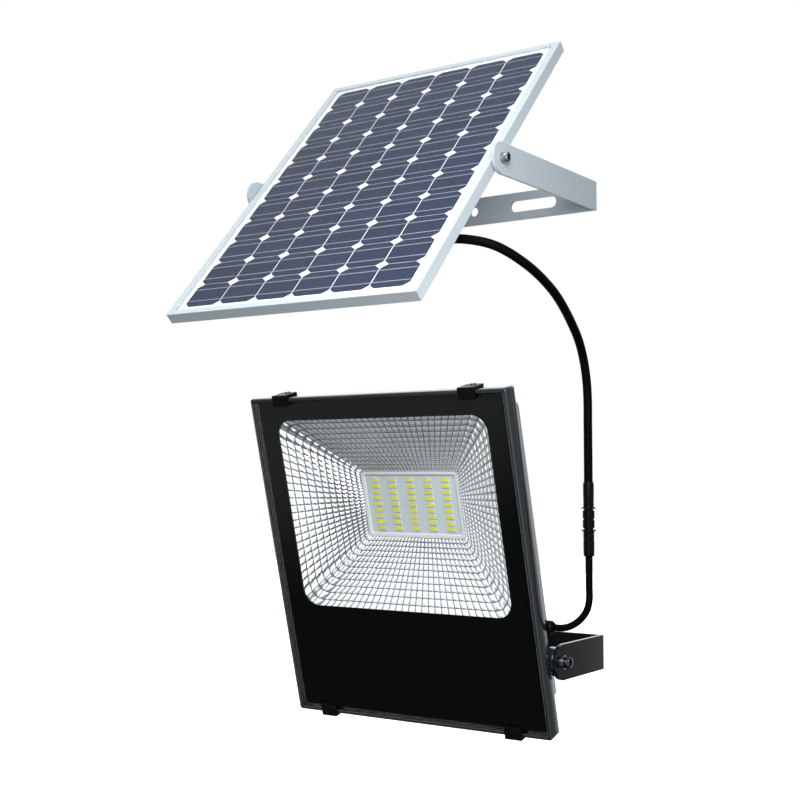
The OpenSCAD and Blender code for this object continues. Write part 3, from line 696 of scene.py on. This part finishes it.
bracketEdge = 0.35
bevelledCopy("lampBracket", "lamp_bracket", darkPaint, "wall_brackets", bracketEdge)
bevelledCopy("panelBracket", "panel_bracket", silverPaint, "wall_brackets", bracketEdge)


def screwMesh(s):
    x0, shankR, headR, socket = s["headAt"], s["shankR"], s["headR"], s["socket"]
    foot, wall = x0 - s["shank"], x0 + s["headH"]
    cut = 0.35  # the head's broken edge
    rings = [(foot, shankR - 0.3), (foot + 0.4, shankR), (x0, shankR), (x0, headR - 0.15),
             (x0 + 0.15, headR), (wall - cut, headR), (wall - cut * 0.35, headR - cut * 0.3),
             (wall, headR - cut), (wall, socket * 1.22), (wall - 0.25, socket, 6), (wall - 2.4, socket, 6),
             (wall - 2.9, socket * 0.4)]
    return mirrored(loftMesh([(turned(rings, 48), True, True)]))


# a near-black lining inside the key socket, painted shade for the recess rather than oil
def socketMesh(wall, flat):
    rings = [(wall - 0.15, flat * 1.02, 6), (wall - 0.15, flat - 0.12, 6), (wall - 2.2, flat - 0.12, 6)]
    return mirrored(loftMesh([(turned(rings, 48), False, True)]))


def washerMesh(x0, thick, r, hole=2.16, cut=0.12):
    rings = [(x0, hole), (x0, r - cut), (x0 + cut, r), (x0 + thick - cut, r), (x0 + thick, r - cut),
             (x0 + thick, hole), (x0, hole)]
    return mirrored(loftMesh([(turned(rings, 56), False, False)]))


lampScrews = {"headAt": 104.35, "shank": 13.0, "shankR": 1.95, "headR": 3.5, "headH": 4.0, "socket": 1.75}
panelScrews = {"headAt": 96.3, "shank": 6.0, "shankR": 1.95, "headR": 3.1, "headH": 4.6, "socket": 1.6}
atLampPivot = onLamp @ Matrix.Translation(lampUnit["pivotInside"])
atPanelPivot = onPanel @ Matrix.Translation(panelUnit["pivotInside"])

for name, s, place, body, node, metal in (
    # the lamp's pivot screws take the steel darkened as painted shade
    ("lampPivotScrews", lampScrews, atLampPivot, "lamp", "lamp_pivot_screws", shadeDarkenedSteel),
    ("panelPivotScrews", panelScrews, atPanelPivot, "panel", "panel_pivot_screws", steel),
):
    asPiece(name, screwMesh(s), place, metal, body, (node,))
    # a dark lining in each key socket: painted shade of the recess
    inside = socketMesh(s["headAt"] + s["headH"], s["socket"])
    asPiece(name + "Inside", inside, place, socketShadePaint, body, turnOut=False)

# CAD node, start, thickness and radius
washers = {
    "lampOuterWashers": ("lamp_outer_washers", 103.55, 0.78, 4.5, atLampPivot, "lamp"),
    "lampInnerWashers": ("lamp_inner_washers", 100.02, 0.9, 6.0, atLampPivot, "lamp"),
    "panelInnerWashers": ("panel_inner_washers", 93.02, 1.1, 3.5, atPanelPivot, "panel"),
}
for name, (node, start, thick, r, place, body) in washers.items():
    finish = (blackPlastic, "black_plastic") if name == "lampInnerWashers" else (steel, "stainless_steel")
    asPiece(name, washerMesh(start, thick, r), place, finish[0], body, (node,))
print("brackets and pivots ready")


housing = {"w": 200.0, "h": 223.5, "rimD": 11.0, "boxW": 177.0, "boxH": 197.0, "back": 38.0, "fins": 15,
           "finStep": 9.0, "finDeep": 5.5, "finLong": 152.0, "finZ": 6.0}


def housingMesh(d):
    w, h, bw, bh, back, rim = d["w"], d["h"], d["boxW"], d["boxH"], d["back"], d["rimD"]
    profile = [  # from the inner floor, out over the rim, to the back
        (35.4, 171.8, 191.8, 2.4), (8.5, 171.8, 191.8, 2.4), (8.5, 171.8, 196.8, 2.4), (6.0, 171.8, 196.8, 2.4),
        (6.0, 195.0, 218.5, 1.2), (0.5, 195.0, 218.5, 1.2), (0.15, 195.3, 218.8, 1.3), (0.0, 195.8, 219.3, 1.4),
        (0.0, w - 1.3, h - 1.3, 1.6), (0.12, w - 0.75, h - 0.75, 1.8), (0.4, w - 0.25, h - 0.25, 2.0),
        (0.85, w, h, 2.1), (rim - 0.7, w, h, 2.1), (rim - 0.2, w - 0.3, h - 0.3, 2.0),
        (rim, w - 1.0, h - 1.0, 1.6), (rim, bw + 1.6, bh + 1.6, 5.8), (rim + 0.25, bw + 0.5, bh + 0.5, 5.2), (rim + 0.8, bw, bh, 5.0),
        (back - 4.6, bw, bh, 5.0), (back - 4.0, bw - 0.4, bh - 0.4, 4.8), (back - 0.5, bw - 6.4, bh - 6.4, 2.8),
        (back - 0.1, bw - 7.4, bh - 7.4, 2.4), (back, bw - 8.4, bh - 8.4, 2.0),
    ]
    shells = [([roundRect(*ring) for ring in profile], True, True)]
    pivotY, pivotZ = lampUnit["pivotInside"][1:]
    for s in (-1, 1):
        boss = turned([(86, 4.1), (94, 4.1), (94.02, 8.6), (94.4, 9.0), (99.5, 9.0), (99.85, 8.8),
                       (99.98, 8.4)], 40)
        shells.append(([[(s * p[0], p[1] + pivotY, p[2] + pivotZ) for p in ring] for ring in boss], True, True))
    return loftMesh(shells)


asPiece("lampHousing", housingMesh(housing), onLamp, darkGloss, "lamp", ("lamp_housing",),
        angle=28)


def finMesh(d):
    long, deep = d["finLong"] / 2, d["finDeep"]
    outline = [(-long, -0.3), (-long, deep - 3), (-long + 3, deep), (long - 3, deep), (long, deep - 3),
               (long, -0.3)]
    rings = [[(x, y, z) for z, y in outline] for x in (-1.0, 1.0)]
    mesh = loftMesh([(rings, True, True)])
    bm = bmesh.new()
    bm.from_mesh(mesh)
    bmesh.ops.recalc_face_normals(bm, faces=bm.faces)
    bmesh.ops.bevel(bm, geom=bm.edges[:], offset=0.35, segments=2, affect="EDGES", profile=0.5)
    bm.to_mesh(mesh)
    bm.free()
    return mesh


fins = grown(finMesh(housing), gridTree, {"Columns": housing["fins"], "Rows": 1, "Step X": housing["finStep"],
                                         "Step Z": 1.0, "Seed": 3, "Material": darkGloss})
asPiece("coolingFins", fins, onLamp @ Matrix.Translation((0, housing["back"], housing["finZ"])), darkGloss,
        "lamp")
print("housing ready")


glass = {"w": 194.6, "h": 218.1, "front": 0.5, "back": 4.42, "cut": 0.25}


def glassMesh(d):
    w, h, c, y0, y1 = d["w"], d["h"], d["cut"], d["front"], d["back"]
    rings = [(y0, w - 2 * c, h - 2 * c, 0.8), (y0 + c, w, h, 1.2), (y1 - c, w, h, 1.2),
             (y1, w - 2 * c, h - 2 * c, 0.8)]
    return loftMesh([([roundRect(*r) for r in rings], True, True)])


# flat ring behind the glass, with a lip up its edge
def gasketMesh():
    rings = [(5.98, 193.6, 217.1, 1.0), (5.98, 176.2, 197.2, 4.0), (4.82, 176.2, 197.2, 4.0),
             (4.82, 194.66, 218.16, 1.2), (0.75, 194.66, 218.16, 1.2), (0.7, 194.94, 218.44, 1.2),
             (5.98, 194.94, 218.44, 1.2), (5.98, 193.6, 217.1, 1.0)]
    return loftMesh([([roundRect(*r) for r in rings], False, False)])


asPiece("glassGasket", gasketMesh(), onLamp, blackRubber, "lamp", ("glass_gasket",))
asPiece("frontGlass", glassMesh(glass), onLamp, clearGlass, "lamp", ("front_glass",), angle=20)


reflector = {"mouthY": 5.4, "footY": 31.4, "mouth": (167.0, 133.0, 12.0), "foot": (77.2, 45.6, 3.0),
             "centreZ": 30.5, "across": 27, "up": 20, "corner": 3, "rings": 12, "taper": 0.26,
             "crown": 0.5, "flatness": 2.2, "ledge": 0.3, "joint": 0.13}


def mirrorMaterial():
    material, tree, shader, where = newMaterial("mirrorFacets", {"Metallic": 0.8, "Specular IOR Level": 0.6})
    uv = put(tree, "ShaderNodeUVMap", uv_map="facetUV")
    parts = put(tree, "ShaderNodeSeparateXYZ", {0: uv.outputs[0]})
    groove = calc(tree, "MAXIMUM", nearEnds(tree, parts.outputs[0], reflector["joint"]),
                  nearEnds(tree, parts.outputs[1], reflector["joint"]))
    patches = useGroup(tree, grainGroup, {"Vector": where, "Colour": (0.9, 0.91, 0.92, 1), "Colour Change": 0.1,
                                         "Gloss": 0.1, "Gloss Change": 0.05, "Patch Size": 60.0})
    coloured = mixed(tree, groove, patches.outputs["Colour"], (0.03, 0.034, 0.036, 1))
    tree.links.new(coloured, shader.inputs["Base Color"])
    tree.links.new(patches.outputs["Gloss"], shader.inputs["Roughness"])
    return material


mirrorFacets = mirrorMaterial()


# the outline of one layer, cut into facets: straight sides in equal shares and round corners in a few flats
def facetOutline(d, share):
    w, h, r = [m + share * (f - m) for m, f in zip(d["mouth"], d["foot"])]
    y = d["mouthY"] + share * (d["footY"] - d["mouthY"])
    points = []
    sides = (((1, 1), d["across"]), ((-1, 1), d["up"]), ((-1, -1), d["across"]), ((1, -1), d["up"]))
    for k, ((sx, sz), count) in enumerate(sides):
        centre = (sx * (w / 2 - r), sz * (h / 2 - r))
        for i in range(d["corner"]):
            a = pi / 2 * (k + i / d["corner"])
            points.append((centre[0] + r * cos(a), y, d["centreZ"] + centre[1] + r * sin(a)))
        last = pi / 2 * (k + 1)
        start = Vector((centre[0] + r * cos(last), 0, centre[1] + r * sin(last)))
        nextSide = sides[(k + 1) % 4][0]
        end = Vector((nextSide[0] * (w / 2 - r) + r * cos(last), 0, nextSide[1] * (h / 2 - r) + r * sin(last)))
        for i in range(count):
            p = start.lerp(end, i / count)
            points.append((p.x, y, d["centreZ"] + p.z))
    return points


def reflectorMesh(d):
    bm = bmesh.new()
    layer = bm.loops.layers.uv.new("facetUV")
    shares = [t * (1 + d["taper"] * (1 - t)) for t in [k / d["rings"] for k in range(d["rings"] + 1)]]
    loops = [[bm.verts.new(p) for p in facetOutline(d, s)] for s in shares]
    count = len(loops[0])
    for a, b in zip(loops, loops[1:]):
        for i in range(count):
            j = (i + 1) % count
            face = bm.faces.new((a[i], a[j], b[j], b[i]))
            for loop, uv in zip(face.loops, ((0, 0), (1, 0), (1, 1), (0, 1))):
                loop[layer].uv = uv
    centre = Vector((0, d["mouthY"] - 60, d["centreZ"]))
    bm.normal_update()
    for face in bm.faces:  # facets face the window
        if face.normal.dot(centre - face.calc_center_median()) < 0:
            face.normal_flip()
    mesh = bpy.data.meshes.new("reflectorBase")
    bm.to_mesh(mesh)
    bm.free()
    return grown(mesh, pillowTree, {"Fineness": 2, "Crown": d["crown"], "Flatness": d["flatness"],
                                    "Material": mirrorFacets})


asPiece("reflectorFacets", reflectorMesh(reflector), onLamp, mirrorFacets, "lamp",
        ("reflector",), angle=50, turnOut=False)


def flangeMesh(d):
    w, h, r = d["mouth"]
    footW, footH, footR = d["foot"]
    front, back = d["mouthY"], d["footY"] + d["ledge"]
    rings = [(front, w, h, r), (front, w + 3, h, r), (front + 0.8, w + 3, h, r),
             (back, footW + 2, footH + 2, footR), (back, footW, footH, footR)]
    return loftMesh([([roundRect(y, a, b, c, d["centreZ"]) for y, a, b, c in rings], False, False)])


asPiece("reflectorShell", flangeMesh(reflector), onLamp, mirrorFacets, "lamp",
        turnOut=False)
print("reflector ready")


lightEngine = {"columns": 5, "rows": 9, "stepX": 14.0, "stepZ": 4.2, "w": 5.7, "h": 3.0, "thick": 0.9,
               "plateY": 33.0, "centreZ": 30.5, "lensW": 5.48, "lensH": 2.8}


def slabMesh(rings):
    return loftMesh([([roundRect(y, w, h, r, 0.0, 4) for y, w, h, r in rings], True, True)])


def makeLights(d):
    place = onLamp @ Matrix.Translation((0, d["plateY"], d["centreZ"]))
    t, w, h, lensW, lensH = (d[key] for key in ("thick", "w", "h", "lensW", "lensH"))
    repeat = {"Columns": d["columns"], "Rows": d["rows"], "Step X": d["stepX"], "Step Z": d["stepZ"], "Seed": 5}
    package = slabMesh([(-0.02, w, h, 0.25), (-t + 0.05, w, h, 0.25), (-t, w - 0.1, h - 0.1, 0.2),
                        (-t, lensW + 0.1, lensH + 0.08, 0.3), (-t + 0.12, lensW, lensH, 0.25)])
    packages = grown(package, gridTree, {**repeat, "Material": packageWhite})
    asPiece("diodePackages", packages, place, packageWhite, "lamp", ("led_chips",))
    lens = slabMesh([(-t + 0.14, lensW, lensH, 0.25), (-t + 0.06, lensW - 0.1, lensH - 0.1, 0.25),
                     (-t + 0.02, lensW - 0.9, lensH - 0.7, 0.2)])
    lenses = grown(lens, gridTree, {**repeat, "Material": phosphor})
    asPiece("diodePhosphor", lenses, place, phosphor, "lamp")


packageWhite = grainyMaterial("packageWhite", {
    "colour": (0.62, 0.62, 0.85), "grainSize": 2000.0, "gloss": 0.35, "bump": 0.05, "dust": 0.0})


def phosphorMaterial():
    material, tree, shader, where = newMaterial("phosphor", {"Specular IOR Level": 0.4})
    shade = put(tree, "ShaderNodeAttribute", attribute_name="shade")
    tone = mixed(tree, shade.outputs["Fac"], (0.74, 0.78, 0.06, 1), (0.82, 0.86, 0.09, 1))
    grain = joinGrain(tree, shader, {"Vector": where, "Colour": tone, "Grain Size": 2500.0,
                                     "Colour Change": 0.15, "Patch Size": 700.0, "Gloss": 0.35})
    addBump(tree, shader, grain, 0.2, 0.00005)
    return material


phosphor = phosphorMaterial()
makeLights(lightEngine)


def enginePlateMaterial():
    material, tree, shader, where = newMaterial("enginePlate", {"Specular IOR Level": 0.6})
    across = unitPlaces(tree, where, lampUnit)["X"]
    wave = calc(tree, "MULTIPLY", across, 2 * pi / (lightEngine["stepX"] * mm))
    stripe = calc(tree, "COSINE", wave)
    soft = ranged(tree, stripe, (0.25, 0.33))
    tone = mixed(tree, soft, (0.62, 0.68, 0.68, 1), (0.58, 0.6, 0.86, 1))
    joinGrain(tree, shader, {"Vector": where, "Colour": tone, "Grain Size": 1500.0, "Colour Change": 0.05,
                             "Gloss": 0.4})
    addBump(tree, shader, soft, 0.2, 0.00005)
    return material


enginePlate = enginePlateMaterial()
bevelledCopy("engineFrame", "led_frame", whitePlastic, "lamp", 0.5, 3)
print("light engine ready")


for level in ("top", "bottom"):
    for side in ("left", "right"):
        bevelledCopy("clip" + level.title() + side.title(), "clip_" + level + "_" + side, blackPlastic, "lamp",
                     0.35)

gland = {"x": 88.5, "y": 24.8, "z": -46.7, "leadR": 2.2}


def makeGland(g):
    place = onLamp @ Matrix.Translation((g["x"], g["y"], g["z"]))
    hole = g["leadR"] + 0.1
    body = [(-5.5, hole), (-5.5, 3.4), (0.05, 3.4), (0.1, 4.3, 6), (0.3, 4.55, 6), (2.8, 4.55, 6), (3.0, 4.3, 6),
            (3.02, 3.3), (6.6, 3.3), (7.0, 3.0), (7.0, hole)]
    asPiece("glandBody", loftMesh([(turned(body), False, False)]), place, blackPlastic, "lamp",
            ("gland_body",))
    nut = [(3.25, 3.36), (3.25, 4.1), (3.45, 4.25), (7.2, 4.25), (7.6, 4.15), (8.4, 3.85), (9.0, 3.4),
           (9.25, 2.9), (9.3, hole + 0.05), (7.2, hole + 0.05)]
    asPiece("glandNut", loftMesh([(turned(nut), False, False)]), place, blackPlastic, "lamp",
            ("gland_nut",))


makeGland(gland)

wireRadius = 0.72
wiring = {
    "batteryWire": [(50, 23, -66), (52, 22, -63), (55, 22.1, -56.5), (60, 23.6, -52)],
    "engineWire": [(20, 32.2, 3), (24, 30, 0), (30, 29, -20), (42, 28, -36), (54, 25.5, -39), (62, 22.5, -43),
                   (64.5, 23.3, -48), (65, 23.6, -52)],
    "inletWire": [(80.4, 24.8, -46.7), (78, 24.5, -46.7), (74, 22, -47), (70, 22, -49), (69, 23.6, -52)],
}
for name, points in wiring.items():
    asPiece(name, tubeMesh(smoothPath(points, 3), wireRadius, 10), onLamp, redInsulation, "lamp",
            ("lamp_wires",) if name == "batteryWire" else (), angle=60)
inGland = [Vector((x, gland["y"], gland["z"])) for x in (80.6, 84, 88, 92, 97.9)]
asPiece("leadInGland", tubeMesh(inGland, gland["leadR"], 20), onLamp, blackJacket, "lamp",
        ("gland_lead",), angle=60)


panel = {"columns": 6, "rows": 11, "fieldX": 168.4, "fieldZ": 236.8, "gapX": 0.9, "gapZ": 0.5, "cutX": 3.9,
         "cutZ": 3.0, "waferY": 1.5, "wafer": 0.18, "fingerPitch": 1.7, "ribbonLong": 167.0, "ribbonWide": 0.5,
         "ribbonY": 1.41, "coverW": 178.6, "coverH": 245.9, "coverFront": 0.52, "coverBack": 1.36}

for side in ("left", "right", "top", "bottom"):
    bevelledCopy("rail" + side.title(), "rail_" + side, anodised, "panel", 0.28)


def siliconMaterial(d):
    material, tree, shader, where = newMaterial("silicon", {"Specular IOR Level": 0.05})
    places = unitPlaces(tree, where, panelUnit)

    def nearEdge(side, pitch, count, width):
        run = calc(tree, "ADD", calc(tree, "DIVIDE", side, pitch * mm), count / 2)
        return nearEnds(tree, calc(tree, "FRACT", run), width / pitch)

    pitchX, pitchZ = d["fieldX"] / d["columns"], d["fieldZ"] / d["rows"]
    edge = calc(tree, "MAXIMUM", nearEdge(places["X"], pitchX, d["columns"], 1.6),
                nearEdge(places["Z"], pitchZ, d["rows"], 1.2))
    finger = calc(tree, "MULTIPLY", places["X"], 2 * pi / (d["fingerPitch"] * mm))
    comb = calc(tree, "SINE", finger)
    thin = ranged(tree, comb, (0.8, 1.0), (0.0, 0.12))
    shade = put(tree, "ShaderNodeAttribute", attribute_name="shade")
    tone = mixed(tree, shade.outputs["Fac"], (0.016, 0.023, 0.055, 1), (0.021, 0.028, 0.064, 1))
    dark = mixed(tree, edge, tone, (0.012, 0.018, 0.055, 1))
    lined = mixed(tree, thin, dark, (0.3, 0.33, 0.4, 1))
    grain = joinGrain(tree, shader, {"Vector": where, "Colour": lined, "Grain Size": 700.0,
                                     "Colour Change": 0.16, "Patch Size": 30.0, "Gloss": 0.35})
    addBump(tree, shader, grain, 0.05, 0.00003)
    return material


silicon = siliconMaterial(panel)


def waferMesh(d):
    w = d["fieldX"] / d["columns"] - d["gapX"]
    h = d["fieldZ"] / d["rows"] - d["gapZ"]
    x, z = d["cutX"], d["cutZ"]
    outline = [(-w / 2 + x, -h / 2), (w / 2 - x, -h / 2), (w / 2, -h / 2 + z), (w / 2, h / 2 - z),
               (w / 2 - x, h / 2), (-w / 2 + x, h / 2), (-w / 2, h / 2 - z), (-w / 2, -h / 2 + z)]
    return loftMesh([([[(px, y, pz) for px, pz in outline] for y in (0.0, d["wafer"])], True, True)])


pitchX, pitchZ = panel["fieldX"] / panel["columns"], panel["fieldZ"] / panel["rows"]
wafers = grown(waferMesh(panel), gridTree, {"Columns": panel["columns"], "Rows": panel["rows"],
                                           "Step X": pitchX, "Step Z": pitchZ, "Seed": 11, "Material": silicon})
asPiece("solarCells", wafers, onPanel @ Matrix.Translation((0, panel["waferY"], 0)), silicon, "panel",
        ("solar_cells",), angle=10)

ribbonLook = grainyMaterial("tinnedRibbon", {
    "colour": (0.3, 0.33, 0.4), "grainSize": 900.0, "gloss": 0.35, "bump": 0.1, "dust": 0.0})
long, wide = panel["ribbonLong"], panel["ribbonWide"]
ribbon = slabMesh([(0.08, long, wide, 0.1), (0.03, long, wide, 0.1), (0.0, long - 0.2, wide - 0.14, 0.08)])
ribbons = grown(ribbon, gridTree, {"Columns": 1, "Rows": 2 * panel["rows"], "Step X": 1.0, "Step Z": pitchZ / 2,
                                   "Seed": 2, "Material": ribbonLook})
asPiece("cellRibbons", ribbons, onPanel @ Matrix.Translation((0, panel["ribbonY"], 0)), ribbonLook, "panel",
        ("cell_ribbons",))

cover = slabMesh([(panel[y], panel["coverW"], panel["coverH"], 0.5) for y in ("coverFront", "coverBack")])
asPiece("panelCover", cover, onPanel, panelGlass, "panel", ("panel_cover",), angle=20)
for part, edge, steps in (("box", 0.5, 3), ("lid", 0.5, 3), ("gland", 0.3, 2)):
    bevelledCopy("junction" + part.title(), "junction_" + part, blackPlastic, "panel", edge,
                 steps)
print("panel ready")


keptParts = {
    "glass_print": blackPrint, "led_board": enginePlate, "led_board_screws": steel, "clip_screws": steel,
    "battery_tray": blackPlastic, "battery_cells": blueSleeve, "battery_strips": nickel,
    "controller_board": greenBoard, "controller_parts": blackPlastic, "controller_screws": steel,
    "back_sheet": whiteSheet, "junction_lid_screws": steel, "terminal_block": greenPlastic,
}

for node, material in keptParts.items():
    nodes[node].data.materials.clear()
    nodes[node].data.materials.append(material)
print("inner parts ready")


studio = {
    "floorDrop": 0.28, "floorSize": 9.0, "floorColour": (0.9, 0.9, 0.9), "floorGlow": 1.0,
    "background": (1.0, 1.0, 1.0), "aim": (0.02, -0.06, 0.17),
    # the sky's two bands: heights they begin and end at, and the light they go from and to
    "lowSky": ((-0.47, -0.36), (0.03, 0.23)), "highSky": ((0.1, 0.8), (0.0, 0.2)),
    "lamps": {
        "keyLeft": {"place": (-1.1, -0.9, 1.7), "size": (1.2, 1.2), "power": 9},
        "rightStrip": {"place": (0.34, -0.48, 0.33), "size": (0.2, 0.3), "power": 3.4},
        "topSoft": {"place": (0.1, -0.5, 2.0), "size": (1.4, 1.4), "power": 11},
    },
    # bright cards, mostly seen mirrored: way to each, the cosines where it starts and is full, strength
    "cards": [
        ((-1.0, -0.05, -0.1), 0.75, 0.95, 1.3),
        ((-0.5, -0.7, 0.5), 0.8, 0.95, 1.2),
        ((0.3, -0.87, -0.4), 0.86, 0.95, 1.7),
        ((1.0, -0.1, 0.1), 0.5, 0.95, 0.5),
        ((-0.5, 0.85, 0.1), 0.5, 0.9, 1.5),
        ((-0.54, -0.07, -0.84), 0.8, 0.95, 0.26),
    ],
    "cardsOnMatt": 0.2,  # share of the cards that still lights dull surfaces
}


def makeFloor(s):
    low = cadBox[0].z - s["floorDrop"]
    half = s["floorSize"] / 2
    mesh = bpy.data.meshes.new("floor")
    corners = ((-half, -half), (half, -half), (half, half), (-half, half))
    mesh.from_pydata([(x, y, low) for x, y in corners], [], [(0, 1, 2, 3)])
    floor = bpy.data.objects.new("floor", mesh)
    bpy.context.scene.collection.objects.link(floor)
    mesh.materials.append(grainyMaterial("floorPaint", {
        "colour": s["floorColour"], "grainSize": 200.0, "gloss": 0.7, "bump": 0.02, "dust": 0.0,
        "colourChange": 0.01, "plain": {"Emission Color": (1, 1, 1, 1), "Emission Strength": s["floorGlow"]}}))
    floor.visible_diffuse = False
    floor.visible_glossy = False
    floor.visible_transmission = False  # glass counts its mirror rays as these


def makeLamp(name, lamp, aim):
    data = bpy.data.lights.new(name, "AREA")
    data.shape = "RECTANGLE"
    data.size, data.size_y = lamp["size"]
    data.energy = lamp["power"]
    light = bpy.data.objects.new(name, data)
    light.location = lamp["place"]
    light.rotation_euler = (Vector(aim) - Vector(lamp["place"])).to_track_quat("-Z", "Y").to_euler()
    bpy.context.scene.collection.objects.link(light)


def makeSky(s):
    world = bpy.data.worlds.new("studioSky")
    world.use_nodes = True
    tree = world.node_tree
    tree.nodes.clear()
    way = put(tree, "ShaderNodeTexCoord").outputs["Generated"]
    height = put(tree, "ShaderNodeSeparateXYZ", {0: way}).outputs["Z"]
    low, high = (ranged(tree, height, *s[band], interpolation_type="SMOOTHSTEP")
                 for band in ("lowSky", "highSky"))
    total = calc(tree, "ADD", low, high)
    path = put(tree, "ShaderNodeLightPath")
    mirror = ranged(tree, path.outputs["Is Diffuse Ray"], (0.0, 1.0), (1.0, s["cardsOnMatt"]))
    for place, begin, full, strength in s["cards"]:
        near = put(tree, "ShaderNodeVectorMath", {0: way, 1: Vector(place).normalized()},
                   operation="DOT_PRODUCT")
        patch = ranged(tree, near.outputs["Value"], (begin, full), (0.0, strength),
                       interpolation_type="SMOOTHSTEP")
        seen = calc(tree, "MULTIPLY", patch, mirror)
        total = calc(tree, "ADD", total, seen)
    soft = put(tree, "ShaderNodeBackground", {"Color": (0.94, 0.98, 1.0, 1), "Strength": total})
    white = put(tree, "ShaderNodeBackground", {"Color": (*s["background"], 1), "Strength": 1.0})
    both = put(tree, "ShaderNodeMixShader",
               {0: path.outputs["Is Camera Ray"], 1: soft.outputs[0], 2: white.outputs[0]})
    put(tree, "ShaderNodeOutputWorld", {"Surface": both.outputs[0]})
    bpy.context.scene.world = world


makeFloor(studio)
for name, lamp in studio["lamps"].items():
    makeLamp(name, lamp, studio["aim"])
makeSky(studio)
print("studio ready")
